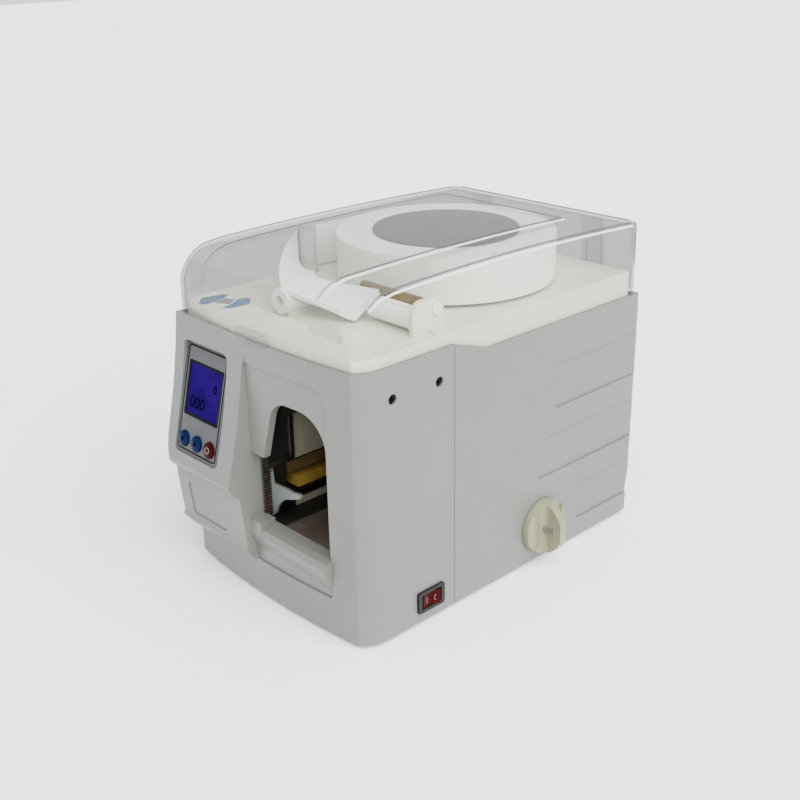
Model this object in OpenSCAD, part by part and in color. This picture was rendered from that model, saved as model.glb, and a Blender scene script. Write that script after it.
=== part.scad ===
// Banknote strapping machine: a desk-top machine that ties a 30 mm paper tape
// round a bundle of notes pushed into the arched slot in its front.
// X runs to the operator's right, Y to the back and Z up, and the rubber feet
// stand on z = 0. The sub-parts are drawn with x = 0 in the middle of the
// housing and y = 0 a little behind the seam between the covers. At the end
// all are moved together, so that the origin lies under the middle of the
// bounding box.

/* [Housing] */
// Width of the moulded housing over its side walls
body_w = 175; // [172:0.5:182]
// Depth from the seam between the covers to the foremost line of the front
front_len = 80.5; // [79:0.5:88]
// Depth from the seam between the covers to the rear face
rear_len = 189.5; // [188:0.5:200]
// Height of the front cover, without the feet
front_h = 178.5; // [176:0.5:190]
// Drop of the rear cover's rim below the front cover's rim
rim_drop = 10; // [6:0.5:12]
// Wall thickness of the two covers
wall = 2.5; // [2:0.1:3]
// How far the middle of the front stands before its two ends
face_bow = 6; // [3:0.5:9]
// Plan radius of the front's right corner
corner_r = 22; // [12:1:26]
// Plan radius of the front's left corner and of the two rear corners
corner_small_r = 8; // [5:0.5:9]
// Height of the rubber feet
foot_h = 3; // [2:0.25:6]
// Diameter of a rubber foot
foot_d = 16; // [12:0.5:20]

/* [Control pod] */
// Width of the control pod on the left of the front
pod_w = 74; // [73:0.5:76]
// How far the pod's lower lip stands out from the front
pod_out = 18; // [15:0.5:20]
// Height of the pod's lower lip above the bottom of the cover
pod_lip_h = 82; // [79:0.5:84]
// How far the lower pod stands out
low_pod_out = 9.5; // [7:0.5:11]
// Height of the lower pod's edge above the bottom of the cover
low_pod_h = 33; // [30:0.5:36]
// Depth to which the pod's front is hollowed
pod_sag = 2.5; // [1:0.25:3]
// Width of the control label
label_w = 47; // [46:0.5:50]
// Height of the control label along its slope
label_h = 75; // [73:0.5:76]
// Thickness of the control label
label_t = 0.6; // [0.4:0.1:0.8]
// Angle between the control label and the vertical
label_tilt = 14; // [13:0.1:14.5]
// Width of the display window
lcd_w = 38; // [34:0.5:40]
// Height of the display window
lcd_h = 37; // [34:0.5:38]
// Diameter of a button
button_d = 10.5; // [9:0.25:11.5]
// Distance between the middles of two buttons
button_pitch = 14; // [13:0.25:15]
// Travel of a button
button_travel = 0.8; // [0.5:0.1:1.2]

/* [Slot] */
// Width of the recess round the slot
bay_w = 74; // [72:0.5:75]
// Height of the recess round the slot
bay_h = 138; // [136:0.5:140]
// Depth of the recess behind the bowed front
bay_depth = 1.2; // [0.8:0.1:1.6]
// Width of the arched slot at its top
slot_w = 50; // [48:0.5:51]
// Height of the slot over its sill
slot_h = 92; // [88:0.5:93]
// Height of the slot's wide lower part over its sill
slot_low_h = 49.5; // [46:0.5:51]
// Height of the sill above the bottom of the cover
sill_h = 52; // [48:0.5:53]
// Depth that a bundle can be pushed in, from the recess to the stop
slot_depth = 104; // [98:1:106]
// Thickness of the dark liner round the slot
liner_t = 2; // [1.5:0.1:2.5]

/* [Tray and clear cover] */
// Height of the tray's top above the front cover's rim
tray_rise = 7; // [5:0.5:8]
// Thickness of the tray
tray_t = 2; // [1.5:0.1:2.5]
// Height of the clear cover above the tray
cover_rise = 38.5; // [38:0.25:42]
// Wall thickness of the clear cover
cover_t = 1.6; // [1.5:0.1:2]
// Radius of the clear cover's front edge
cover_r = 26; // [20:1:30]
// Height of the raised panel on the clear cover
panel_step = 1.2; // [0.8:0.1:1.4]
// Fall of the clear cover's top towards the rear
cover_fall = 4; // [3:0.25:4.75]
// Diameter of the hinge pins
hinge_pin_d = 3; // [2.5:0.1:3.2]

/* [Tape roll] */
// Outer diameter of the paper roll
roll_d = 148; // [130:1:150]
// Width of the paper tape
tape_w = 30; // [28:0.5:30.5]
// Diameter of the paper roll's core
core_d = 76; // [70:1:80]
// Diameter of the disc on top of the roll
hub_d = 99; // [90:1:104]
// Diameter of the fixed spindle
spindle_d = 12; // [10:0.5:16]
// Diameter of the vertical guide sleeve
sleeve_d = 12; // [10:0.5:13]
// Diameter of the white turn roller
turn_d = 13.6; // [12:0.2:14]
// Length of the white turn roller
turn_l = 36; // [34:0.5:38]
// Diameter of the brass stay
stay_d = 8; // [6:0.5:9]

/* [Drive] */
// Diameter of the main shaft
shaft_d = 10; // [8:0.5:11]
// Height of the main shaft above the bottom of the covers
shaft_h = 25; // [24.5:0.25:26]
// Module of the drive gears
gear_m = 1.25; // [1.2:0.01:1.27]
// Teeth of the gear on the main shaft
gear_teeth = 30; // [28:1:31]
// Teeth of the motor's pinion
pinion_teeth = 18; // [16:1:20]
// Face width of the gears
gear_w = 8; // [6:0.5:9]
// Height of a cam's lobe above its base circle
cam_lift = 6; // [4:0.5:6.5]
// Diameter of the drive motor
motor_d = 38; // [34:1:39]
// Diameter of the hand knob
knob_d = 39; // [34:0.5:42]
// Length of the hand knob from the housing to its end
knob_l = 19; // [17:0.5:22]
// Diameter of the rubber feed roller
feed_d = 16; // [14:0.5:17]
// Diameter of the steel pinch roller
pinch_d = 11; // [10:0.5:12]
// Thickness of the steel frame plates
plate_t = 2.5; // [2:0.1:3]

/* [Clearances] */
// Gap between parts that are only placed beside each other
seat_gap = 0.3; // [0.2:0.05:0.4]
// Gap at the seam between the front and the rear cover
seam_gap = 0.5; // [0.3:0.1:0.8]
// Gap on the radius of everything that runs on a shaft or pin
run_gap = 0.05; // [0.03:0.01:0.08]
// Gap between the clear cover and the covers below it
cover_gap = 0.8; // [0.7:0.05:1.2]

/* [Hidden] */
$fn = 64;

hw = body_w/2;
seam_y = -47.5;
face_y = seam_y - front_len;
rear_y = seam_y + rear_len;
z_bot = foot_h;
z_front = z_bot + front_h;
z_rear = z_front - rim_drop;
tray_top = z_front + tray_rise;
floor_z = z_bot + 0.5 + plate_t;      // top of the base plate
knob_x = hw + 0.6;
origin_x = (knob_x + knob_l - hw)/2;
origin_y = (face_y - pod_out + rear_y)/2;
module at_origin() translate([-origin_x, -origin_y, 0]) children();

// Extrusions along each axis: the outline is drawn in (Y, Z), (X, Z) or (X, Y)
module along_x(x0, x1) translate([x0, 0, 0]) rotate([90, 0, 90]) linear_extrude(x1 - x0) children();
module along_y(y0, y1) translate([0, y1, 0]) rotate([90, 0, 0]) linear_extrude(y1 - y0) children();
module along_z(z0, z1) translate([0, 0, z0]) linear_extrude(z1 - z0) children();

// A rectangle given by its corners, with a radius at each: left front, right
// front, right back, left back
module rounded(x0, x1, y0, y1, r) {
    difference() {
        translate([x0, y0]) square([x1 - x0, y1 - y0]);
        corner_cut(x0, y0, 1, 1, r[0]);
        corner_cut(x1, y0, -1, 1, r[1]);
        corner_cut(x1, y1, -1, -1, r[2]);
        corner_cut(x0, y1, 1, -1, r[3]);
    }
}
module corner_cut(x, y, sx, sy, r) {
    if (r > 0) translate([x, y]) difference() {
        translate([sx < 0 ? -r : -1, sy < 0 ? -r : -1]) square(r + 1);
        translate([sx*r, sy*r]) circle(r);
    }
}
module box(x0, x1, y0, y1, z0, z1) translate([x0, y0, z0]) cube([x1 - x0, y1 - y0, z1 - z0]);
module rod_x(x0, x1, y, z, d) translate([x0, y, z]) rotate([0, 90, 0]) cylinder(h = x1 - x0, d = d);
module rod_y(x, y0, y1, z, d) translate([x, y0, z]) rotate([-90, 0, 0]) cylinder(h = y1 - y0, d = d);
module rod_z(x, y, z0, z1, d) translate([x, y, z0]) cylinder(h = z1 - z0, d = d);

// ---------------------------------------------------------------- housing
// Plan of the housing, drawn in by t: bowed in front, rounded at the corners
bow_r = (hw*hw + face_bow*face_bow)/(2*face_bow);
module plan(t, back = rear_y) {
    intersection() {
        rounded(-hw + t, hw - t, face_y + t, back - t,
                [max(corner_small_r - t, 0.5), max(corner_r - t, 0.5),
                 max(corner_small_r - t, 0.5), max(corner_small_r - t, 0.5)]);
        translate([0, face_y + bow_r]) circle(bow_r - t, $fn = 256);
    }
}
module before_seam(y1 = seam_y) translate([-hw - 30, face_y - 50]) square([body_w + 60, y1 - face_y + 50]);
module behind_seam(y0) translate([-hw - 30, y0]) square([body_w + 60, rear_len + 50]);

// Side view of the two pods, drawn in by t
pod_x1 = -hw + pod_w;
pod_top_out = -1.2;
pod_back = 16;
pod_steps = 8;
lip_r = 3;
function pod_front(s, t) = [
    face_y + t - pod_top_out - (pod_out - pod_top_out)*s + 4*pod_sag*s*(1 - s),
    z_front - (z_front - z_bot - pod_lip_h)*s];
module pod_profile(t) {
    polygon(concat(
        [[face_y + pod_back, z_front]],
        [for (i = [0:pod_steps]) pod_front(i/pod_steps, t)],
        [[face_y + t - pod_out + 0.6, z_bot + pod_lip_h - lip_r + t/2],
         [face_y + t - low_pod_out - 0.3, z_bot + pod_lip_h - 11 + t],
         [face_y + t - low_pod_out, z_bot + pod_lip_h - 17],
         [face_y + t - low_pod_out + 3, z_bot + low_pod_h + 4],
         [face_y + t - low_pod_out + 2, z_bot + low_pod_h + t/2],
         [face_y + t - 1.6, z_bot + low_pod_h - 8 + t],
         [face_y + pod_back, z_bot + low_pod_h - 12 + t]]));
}
// A shallow panel pressed into the face of the lower pod
inset_d = 0.7;
module pod_inset() intersection() {
    along_x(-hw, pod_x1) polygon([
        [face_y - pod_out, z_bot + pod_lip_h - 17], [face_y - low_pod_out + inset_d, z_bot + pod_lip_h - 17],
        [face_y - low_pod_out + 3 + inset_d, z_bot + low_pod_h + 4], [face_y - pod_out, z_bot + low_pod_h + 4]]);
    along_y(face_y - pod_out, face_y)
        rounded(-hw + 12, pod_x1 - 23, z_bot + low_pod_h + 5, z_bot + pod_lip_h - 18, [3, 3, 3, 3]);
}
module pods(t) {
    intersection() {
        along_x(-hw + t, pod_x1 - t) pod_profile(t);
        along_z(z_bot - 1, z_front + 1)
            rounded(-hw + t, pod_x1 - t, face_y - pod_out + t, seam_y,
                    [corner_small_r - 1, 3, 0, 0]);
    }
}

// The label's own plane: local X to the right, Y up the slope, Z outwards
label_x = -hw + 33.7;
label_z = z_bot + 125.5;
label_y = face_y - 6.5;
module on_label() translate([label_x, label_y, label_z]) rotate([90 - label_tilt, 0, 0]) children();
lcd_v = 6.8;
button_v = -27.5;
module label_outline(g) rounded(-label_w/2 - g, label_w/2 + g, -label_h/2 - g, label_h/2 + g,
                                [4 + g, 4 + g, 4 + g, 4 + g]);
module lcd_outline(g) rounded(-lcd_w/2 - g, lcd_w/2 + g, lcd_v - lcd_h/2 - g, lcd_v + lcd_h/2 + g,
                              [1.5, 1.5, 1.5, 1.5]);
function button_x(i) = (i - 1)*button_pitch;

// The recess round the slot, and the slot's outline in (X, Z)
bay_x0 = pod_x1 - 1.5;
bay_x1 = bay_x0 + bay_w;
bay_z0 = z_bot + 25;
bay_z1 = bay_z0 + bay_h;
function bow(x) = bow_r - sqrt(bow_r*bow_r - x*x);
bay_y = face_y + bow(bay_x1) + bay_depth;
sill_z = z_bot + sill_h;
slot_x1 = bay_x1 - 2;
slot_x0 = slot_x1 - slot_w;
slot_top = sill_z + slot_h;
slot_low_z = sill_z + slot_low_h;
arch_left_r = 17;
arch_right_r = 22;
arch_lean = 16.7;                     // slope of the arch's left edge
arch_left = [slot_x0 + arch_left_r, slot_top - arch_left_r];
arch_right = [slot_x1 - arch_right_r, slot_top - arch_right_r];
// The outline widened by g: an arch over a lower part that runs to the left
module slot_outline(g) {
    touch = arch_left + (arch_left_r + g)*[-cos(arch_lean), sin(arch_lean)];
    low = slot_low_z + g;
    translate(arch_left) circle(arch_left_r + g);
    translate(arch_right) circle(arch_right_r + g);
    polygon([touch, [arch_left[0], slot_top + g], [arch_right[0], slot_top + g], arch_right, [slot_x1 + g, arch_right[1]],
             [slot_x1 + g, sill_z - g], [bay_x0, sill_z - g], [bay_x0, low],
             [touch[0] - (touch[1] - low)*tan(arch_lean), low]]);
}
bay_wall_y = bay_y + 6.5;             // where the recess's left wall ends, inside
module bay_block() {
    box(bay_x0 - wall, bay_x1 + wall, face_y - pod_out - 5, bay_y + wall, bay_z0 - wall, bay_z1 + wall);
    box(bay_x0 - wall, bay_x0, face_y - 5, bay_wall_y, sill_z - 3, slot_low_z + 3);
    box(bay_x0 - wall, bay_x1 + wall, face_y - 5, bay_wall_y, sill_z - 5, sill_z);
}
module bay_recess() {
    difference() {
        along_y(face_y - pod_out - 5, bay_y + 1)
            rounded(bay_x0, bay_x1, bay_z0, bay_z1, [3, 3, 9, 2]);
        along_z(z_bot, z_front) plan(bay_depth);
    }
    along_y(face_y - 1, bay_wall_y + 1) slot_outline(0);
}
module sill() {
    along_x(bay_x0, bay_x1)
        polygon([[bay_wall_y, sill_z], [face_y - 1.5, sill_z - 1.5], [face_y - 3.5, sill_z - 5],
                 [face_y - 2.5, sill_z - 9], [bay_y + 0.5, bay_z0 + 3], [bay_wall_y, bay_z0 + 3]]);
    box(bay_x0, bay_x0 + 11, face_y - 3, bay_wall_y - 1.5, sill_z - 6, sill_z + 3.5);
}

// Screws through the sides of the front cover into the tray's lugs
screw_d = 3;
screw_head_d = 6;
screw_sink = 3.5;
boss_l = 8;
screw_z = z_front - 20;
screw_ys = [seam_y - 50.6, seam_y - 12.7];
lug_x = hw - boss_l - 0.4;
module each_screw() for (s = [-1, 1], y = screw_ys) translate([s*hw, y, screw_z]) rotate([0, s > 0 ? -90 : 90, 0]) children();

// Rocker switch on the right side
rocker_y = seam_y - 21.9;
rocker_z = z_bot + 14.2;
rocker_w = 23;
rocker_h = 15;

// Ledges inside the covers carry the tray's skirt
skirt_z = z_rear - 8;
tray_inset = wall + 0.4;
module ledges(y0, y1) {
    for (s = [-1, 1]) translate([s*(hw - wall - 3), 0, 0])
        box(-3.5, 3.5, y0, y1, skirt_z - 4, skirt_z);
}

module front_cover() color([0.83, 0.83, 0.80]) {
    difference() {
        union() {
            along_z(z_bot, z_front) intersection() { plan(0); before_seam(); }
            pods(0);
        }
        difference() {
            union() {
                along_z(z_bot - 1, z_front + 1) intersection() { plan(wall); before_seam(seam_y + 1); }
                pods(wall);
            }
            bay_block();
            on_label() along_z(-wall - label_t, 20)
                rounded(-label_w/2 - wall, label_w/2 + wall, -label_h/2 - wall, label_h/2 + wall, [4, 4, 4, 4]);
            each_screw() cylinder(h = boss_l, d = 10);
            ledges(screw_ys[0] - 14.3, screw_ys[0] - 6 - seat_gap);
            ledges(screw_ys[1] + 6 + seat_gap, seam_y);
        }
        bay_recess();
        pod_inset();
        on_label() along_z(-label_t, 20) label_outline(0.2);
        on_label() along_z(-10, 1) lcd_outline(0.3);
        for (i = [0:2]) on_label() translate([button_x(i), button_v, -10]) cylinder(h = 12, d = button_d + 0.8);
        each_screw() translate([0, 0, -1]) cylinder(h = screw_sink + 1, d = screw_head_d + 0.6);
        each_screw() cylinder(h = boss_l + 1, d = screw_d + 0.4);
        box(hw - wall - 1, hw + 1, rocker_y - rocker_w/2 + 1.5, rocker_y + rocker_w/2 - 1.5,
            rocker_z - rocker_h/2 + 1, rocker_z + rocker_h/2 - 1);
    }
    difference() {
        sill();
        along_z(z_bot, z_front) difference() {
            translate([-hw, face_y - 20]) square([body_w, 60]);
            translate([-hw, face_y - 20]) square([body_w, bay_wall_y - face_y + 20]);
        }
    }
}

// Side view of the rear cover: rim, bulging rear face and the slope at the seam
ramp_l = 31.5;
module rear_profile(t) {
    polygon([[seam_y - 1, z_bot - 1], [rear_y - 6.5 - t, z_bot - 1], [rear_y - 6.5 - t, z_bot + 14],
             [rear_y - 2.3 - t, z_bot + 42], [rear_y - t, z_bot + 57], [rear_y - t, z_bot + 105],
             [rear_y - 2.5 - t, z_bot + 127], [rear_y - 5.5 - t, z_rear + 1],
             [rear_y - 5.5 - t, z_front + 1], [seam_y - 1, z_front + 1]]);
}
module rear_rim() {
    polygon([[seam_y - 2, z_front], [seam_y, z_front], [seam_y + ramp_l, z_rear], [rear_y + 1, z_rear],
             [rear_y + 1, z_front + 20], [seam_y - 2, z_front + 20]]);
}
// Three recessed bands run from the flank round to the rear
band_d = 1.2;
bands = [[seam_y + 94.3, z_bot + 108, z_bot + 140, 12], [seam_y + 80.1, z_bot + 60, z_bot + 90, 11],
         [seam_y + 122.7, z_bot + 14, z_bot + 42, 10]];
module band_cuts() {
    for (b = bands, s = [-1, 1])
        along_x(s > 0 ? hw - band_d : -hw - 1, s > 0 ? hw + 1 : -hw + band_d)
            rounded(b[0], rear_y + 1, b[1], b[2], [5, 0, 0, b[3]]);
}
inlet_x = -30;
inlet_z = z_bot + 30;
inlet_w = 28;
inlet_h = 21;
inlet_y = rear_y - 6;
shaft_y = 38;
shaft_z = z_bot + shaft_h;
cam_r = 13;                           // a cam's base circle
vent_n = 7;
module rear_cover() color([0.83, 0.83, 0.80]) difference() {
    intersection() {
        along_z(z_bot, z_front) intersection() { plan(0); behind_seam(seam_y + seam_gap); }
        along_x(-hw - 1, hw + 1) rear_profile(0);
    }
    difference() {
        intersection() {
            along_z(z_bot - 2, z_front + 2) intersection() { plan(wall); behind_seam(seam_y - 1); }
            along_x(-hw, hw) rear_profile(wall);
        }
        for (y = [10, 100]) ledges(y - 4, y + 4);
        box(inlet_x - inlet_w/2 - 5, inlet_x + inlet_w/2 + 5, rear_y - 10, rear_y,
            inlet_z - inlet_h/2 - 4, inlet_z + inlet_h/2 + 4);
    }
    along_y(inlet_y, rear_y + 1) rounded(inlet_x - inlet_w/2 - 2.3, inlet_x + inlet_w/2 + 2.3,
                                         inlet_z - inlet_h/2 - 1.8, inlet_z + inlet_h/2 + 1.8, [2, 2, 2, 2]);
    along_x(-hw - 1, hw + 1) rear_rim();
    band_cuts();
    rod_x(hw - wall - 1, hw + 1, shaft_y, shaft_z, shaft_d + 2);
    box(inlet_x - inlet_w/2, inlet_x + inlet_w/2, rear_y - 15, rear_y + 1, inlet_z - inlet_h/2, inlet_z + inlet_h/2);
    for (i = [0:vent_n - 1])
        along_y(rear_y - 15, rear_y + 1)
            rounded(4 + i*9, 8 + i*9, z_bot + 62, z_bot + 98, [1.9, 1.9, 1.9, 1.9]);
}

module base_plate() color([0.62, 0.63, 0.64]) difference() {
    union() {
        along_z(z_bot + 0.5, floor_z) intersection() {
            plan(wall + seat_gap);
            translate([-hw, face_y + 12]) square([body_w, rear_y - 22 - face_y]);
        }
        for (s = [-1, 1]) translate([s*(hw - wall - seat_gap - plate_t/2), 0, 0])
            box(-plate_t/2, plate_t/2, seam_y - 45, rear_y - 40, floor_z - 1, floor_z + 3);
    }
    for (p = foot_places) rod_z(p[0], p[1], z_bot, floor_z + 1, 6.4);
}
foot_places = [for (s = [-1, 1], y = [face_y + 24, rear_y - 30]) [s*(hw - 20), y]];
module rubber_feet() color([0.12, 0.12, 0.12])
    for (p = foot_places) {
        rod_z(p[0], p[1], 0, z_bot + 0.5, foot_d);
        rod_z(p[0], p[1], z_bot, floor_z, 6);
        rod_z(p[0], p[1], floor_z, floor_z + 1.5, 8);
    }

module side_screws() color([0.25, 0.25, 0.26]) each_screw() difference() {
    union() {
        translate([0, 0, screw_sink - 2.2]) cylinder(h = 2.2, d = screw_head_d);
        translate([0, 0, screw_sink - 0.5]) cylinder(h = boss_l + 4 - screw_sink, d = screw_d);
    }
    translate([0, 0, screw_sink - 3]) {
        translate([-2, -0.5, 0]) cube([4, 1, 1.8]);
        translate([-0.5, -2, 0]) cube([1, 4, 1.8]);
    }
}

// ------------------------------------------------------------------- tray
hinge_gap_y = 4.5;
cover_rear = rear_y - 7;
hinge_r = hinge_pin_d/2 + 1.7;
hinge_y = cover_rear - hinge_r;
hinge_z = z_rear + cover_gap + hinge_r;
tray_rear = hinge_y - hinge_gap_y;
tape_y = -54.7;
tape_x0 = hw - 53.5;
tape_x1 = tape_x0 + tape_w + 4;
module tray_plan(t) intersection() {
    plan(tray_inset + t);
    translate([-hw, face_y]) square([body_w, tray_rear - t - face_y]);
}
module top_tray() color([0.90, 0.90, 0.86]) difference() {
    union() {
        along_z(skirt_z, tray_top) tray_plan(0);
        for (s = [-1, 1]) translate([s*(lug_x - 1.5), 0, 0])
            box(-1.5, 1.5, screw_ys[0] - 6, screw_ys[1] + 6, screw_z - 6, tray_top - 1);
    }
    difference() {
        along_z(skirt_z - 20, tray_top - tray_t) tray_plan(tray_t);
        for (s = [-1, 1]) translate([s*(lug_x - 1.5), 0, 0])
            box(-1.5, 1.5, screw_ys[0] - 6, screw_ys[1] + 6, screw_z - 6, tray_top - 1);
    }
    for (s = [-1, 1], y = screw_ys) rod_x(s > 0 ? lug_x - 4 : -lug_x - 1, s > 0 ? lug_x + 1 : -lug_x + 4, y, screw_z, screw_d + 0.1);
    box(tape_x0, tape_x1, tape_y - 2.5, tape_y + 3.5, tray_top - 5, tray_top + 1);
    rod_z(roll_x, roll_y, tray_top - 5, tray_top + 1, spindle_d - 1.9);
    box(bay_x0 - wall - seat_gap, bay_x1 + wall + seat_gap, face_y, bay_y + wall + seat_gap,
        skirt_z - 1, bay_z1 + wall + seat_gap);
    box(label_x - board_w/2 - 1, label_x + board_w/2 + 1, face_y, face_y + 14,
        skirt_z - 1, label_z + (label_h/2 + wall)*cos(label_tilt) + 1);
    for (s = [-1, 1], y = screw_ys) translate([s*hw, 0, 0])
        box(-boss_l - 0.3, boss_l, y - 5.3, y + 5.3, skirt_z - 1, screw_z + 5.3);
}

// ------------------------------------------------------------ clear cover
cover_out = hw - 0.2;
cover_front = face_y + 0.3;
cover_lean_z = tray_top + 2;
cover_top = tray_top + cover_rise;
crown_y = -10;
crown_r = pow(cover_rear - crown_y, 2)/(2*cover_fall);
panel_x0 = -hw + 23;
panel_x1 = hw - 42;
panel_y1 = 100;
module cover_side(t, drop) {
    intersection() {
        difference() {
            polygon([[cover_front + t, skirt_z], [cover_front + t, cover_lean_z],
                     [cover_front + t + 6, cover_top + 4], [cover_rear - t - 3.5, cover_top + 4],
                     [cover_rear - t, cover_lean_z], [cover_rear - t, skirt_z]]);
            translate([cover_front + 4 + drop, cover_top - 2 - drop]) corner_cut(t, -t, 1, -1, cover_r - t);
        }
        translate([crown_y, cover_top - drop - crown_r]) circle(crown_r - t, $fn = 512);
    }
}
module cover_ends(t) {
    polygon([[-cover_out + t, skirt_z], [-cover_out + t, cover_lean_z], [-cover_out + t + 2.6, cover_top - 7],
             [-cover_out + t + 4.5, cover_top - 3 - t*0.6], [-cover_out + 8, cover_top + 5],
             [cover_out - 8, cover_top + 5], [cover_out - t - 4.5, cover_top - 3 - t*0.6],
             [cover_out - t - 2.6, cover_top - 7], [cover_out - t, cover_lean_z], [cover_out - t, skirt_z]]);
}
module cover_solid(t) {
    intersection() {
        union() {
            along_x(-hw, hw) cover_side(t, panel_step);
            intersection() {
                along_x(panel_x0 + t, panel_x1 - t) cover_side(t, 0);
                along_y(face_y, panel_y1 - t) translate([-hw, skirt_z]) square([body_w, 80]);
            }
        }
        along_y(face_y - 5, rear_y) cover_ends(t);
        along_z(skirt_z - 1, cover_top + 5) plan(0.2 + t, cover_rear + 0.2);
    }
}
module cover_foot() {
    polygon([[face_y - 5, skirt_z - 1], [rear_y, skirt_z - 1], [rear_y, hinge_z - hinge_r/2],
             [cover_rear - cover_t - 1, hinge_z - hinge_r/2], [cover_rear - cover_t - 1, z_rear + cover_gap],
             [seam_y + ramp_l, z_rear + cover_gap], [seam_y, z_front + cover_gap], [face_y - 5, z_front + cover_gap]]);
}
hinge_xs = [-52, 52];
hinge_w = 17;
knuckle_w = 9;
module clear_cover() color([0.80, 0.86, 0.90, 0.45]) difference() {
    union() {
        difference() {
            cover_solid(0);
            cover_solid(cover_t);
            along_x(-hw - 1, hw + 1) cover_foot();
            for (x = hinge_xs) box(x - hinge_w/2 - 0.4, x + hinge_w/2 + 0.4, hinge_y, rear_y,
                                   skirt_z, hinge_z + hinge_r + 0.4);
        }
        for (x = hinge_xs) {
            rod_x(x - knuckle_w/2, x + knuckle_w/2, hinge_y, hinge_z, 2*hinge_r);
            box(x - knuckle_w/2, x + knuckle_w/2, hinge_y + 0.5, cover_rear - cover_t/2, hinge_z, hinge_z + 10);
            box(x - hinge_w/2, x + hinge_w/2, cover_rear - cover_t - 1.5, cover_rear - cover_t + 0.3,
                hinge_z + hinge_r + 0.5, hinge_z + 30);
        }
    }
    for (x = hinge_xs) rod_x(x - knuckle_w, x + knuckle_w, hinge_y, hinge_z, hinge_pin_d + 2*run_gap);
}
tab_x = -2;
tab_w = 30;
module finger_tab() color([0.80, 0.86, 0.90, 0.45])
    difference() {
        along_y(face_y - 2.8, cover_front - 0.1)
            rounded(tab_x - tab_w/2, tab_x + tab_w/2, z_front - 1.5, z_front + 7.5, [4, 4, 2, 2]);
        box(tab_x - tab_w, tab_x + tab_w, face_y - 0.4, face_y + 5, z_front - 3, z_front + cover_gap);
    }
module hinge_brackets() color([0.90, 0.90, 0.86])
    for (x = hinge_xs) difference() {
        for (s = [-1, 1]) translate([x + s*(hinge_w/2 - 1.8), 0, 0]) {
            rod_x(-1.8, 1.8, hinge_y, hinge_z, 2*hinge_r - 0.6);
            box(-1.8, 1.8, tray_rear, hinge_y, hinge_z - hinge_r + 0.3, hinge_z + hinge_r - 0.3);
        }
        rod_x(x - hinge_w, x + hinge_w, hinge_y, hinge_z, hinge_pin_d);
    }
module hinge_pins() color([0.70, 0.71, 0.72])
    for (x = hinge_xs) rod_x(x - hinge_w/2, x + hinge_w/2, hinge_y, hinge_z, hinge_pin_d);

// ---------------------------------------------------------- control panel
module panel_label() color([0.55, 0.57, 0.58]) on_label() difference() {
    along_z(-label_t, 0) label_outline(0);
    along_z(-2, 1) lcd_outline(0);
    for (i = [0:2]) translate([button_x(i), button_v, -2]) cylinder(h = 4, d = button_d + 0.5);
}
lcd_t = 4;
module lcd_display() color([0.12, 0.12, 0.75]) on_label() {
    along_z(-wall - label_t - 0.1, -label_t) lcd_outline(0);
    along_z(-wall - label_t - lcd_t, -wall - label_t)
        rounded(-lcd_w/2 - 3, lcd_w/2 + 3, lcd_v - lcd_h/2 - 3, lcd_v + lcd_h/2 + 3, [1, 1, 1, 1]);
}
board_z = -wall - label_t - lcd_t - 2.4;
board_w = 52;
board_h = 78;
module control_board() color([0.05, 0.35, 0.15]) on_label() {
    along_z(board_z, board_z + 1.6) rounded(-board_w/2, board_w/2, -board_h/2, board_h/2, [2, 2, 2, 2]);
    for (x = [-lcd_w/2, lcd_w/2], y = [lcd_v - lcd_h/2, lcd_v + lcd_h/2])
        translate([x, y, board_z + 1.6]) cylinder(h = 0.8, d = 4);
    for (i = [0:2]) translate([button_x(i), button_v, board_z + 1.6]) {
        translate([-3, -3, 0]) cube([6, 6, 1.5]);
        cylinder(h = 3.4 - button_travel, d = 3.2);
    }
    translate([-18, -12, board_z - 3.5]) cube([14, 14, 3.5]);
    translate([4, 6, board_z - 6]) cube([16, 6, 6]);
}
// A button is a domed cap with a flange behind the cover's wall
dome_r = 16;
module button(i) on_label() translate([button_x(i), button_v, 0]) {
    intersection() {
        translate([0, 0, -wall - label_t - seat_gap - 1]) cylinder(h = wall + label_t + seat_gap + 4, d = button_d);
        translate([0, 0, 2.2 - dome_r]) sphere(r = dome_r, $fn = 96);
    }
    translate([0, 0, -wall - label_t - seat_gap - 1]) cylinder(h = 1, d = button_d + 2.4);
}
module button_down() color([0.15, 0.42, 0.75]) button(0);
module button_up() color([0.15, 0.42, 0.75]) button(1);
module button_reset() color([0.78, 0.12, 0.12]) button(2);

// ---------------------------------------------------------- rocker switch
rocker_depth = 19;
module rocker_frame() color([0.08, 0.08, 0.08]) difference() {
    union() {
        along_x(hw, hw + 1.8) rounded(rocker_y - rocker_w/2, rocker_y + rocker_w/2,
                                      rocker_z - rocker_h/2, rocker_z + rocker_h/2, [1.5, 1.5, 1.5, 1.5]);
        box(hw - rocker_depth, hw + 0.5, rocker_y - rocker_w/2 + 1.8, rocker_y + rocker_w/2 - 1.8,
            rocker_z - rocker_h/2 + 1.3, rocker_z + rocker_h/2 - 1.3);
    }
    box(hw - rocker_depth + 7, hw + 3, rocker_y - rocker_w/2 + 3, rocker_y + rocker_w/2 - 3,
        rocker_z - rocker_h/2 + 2.4, rocker_z + rocker_h/2 - 2.4);
    rod_z(hw - 2, rocker_y, rocker_z - rocker_h/2 + 1.5, rocker_z + rocker_h/2 - 1.5, 2);
}
rocker_tilt = 9;
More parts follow.
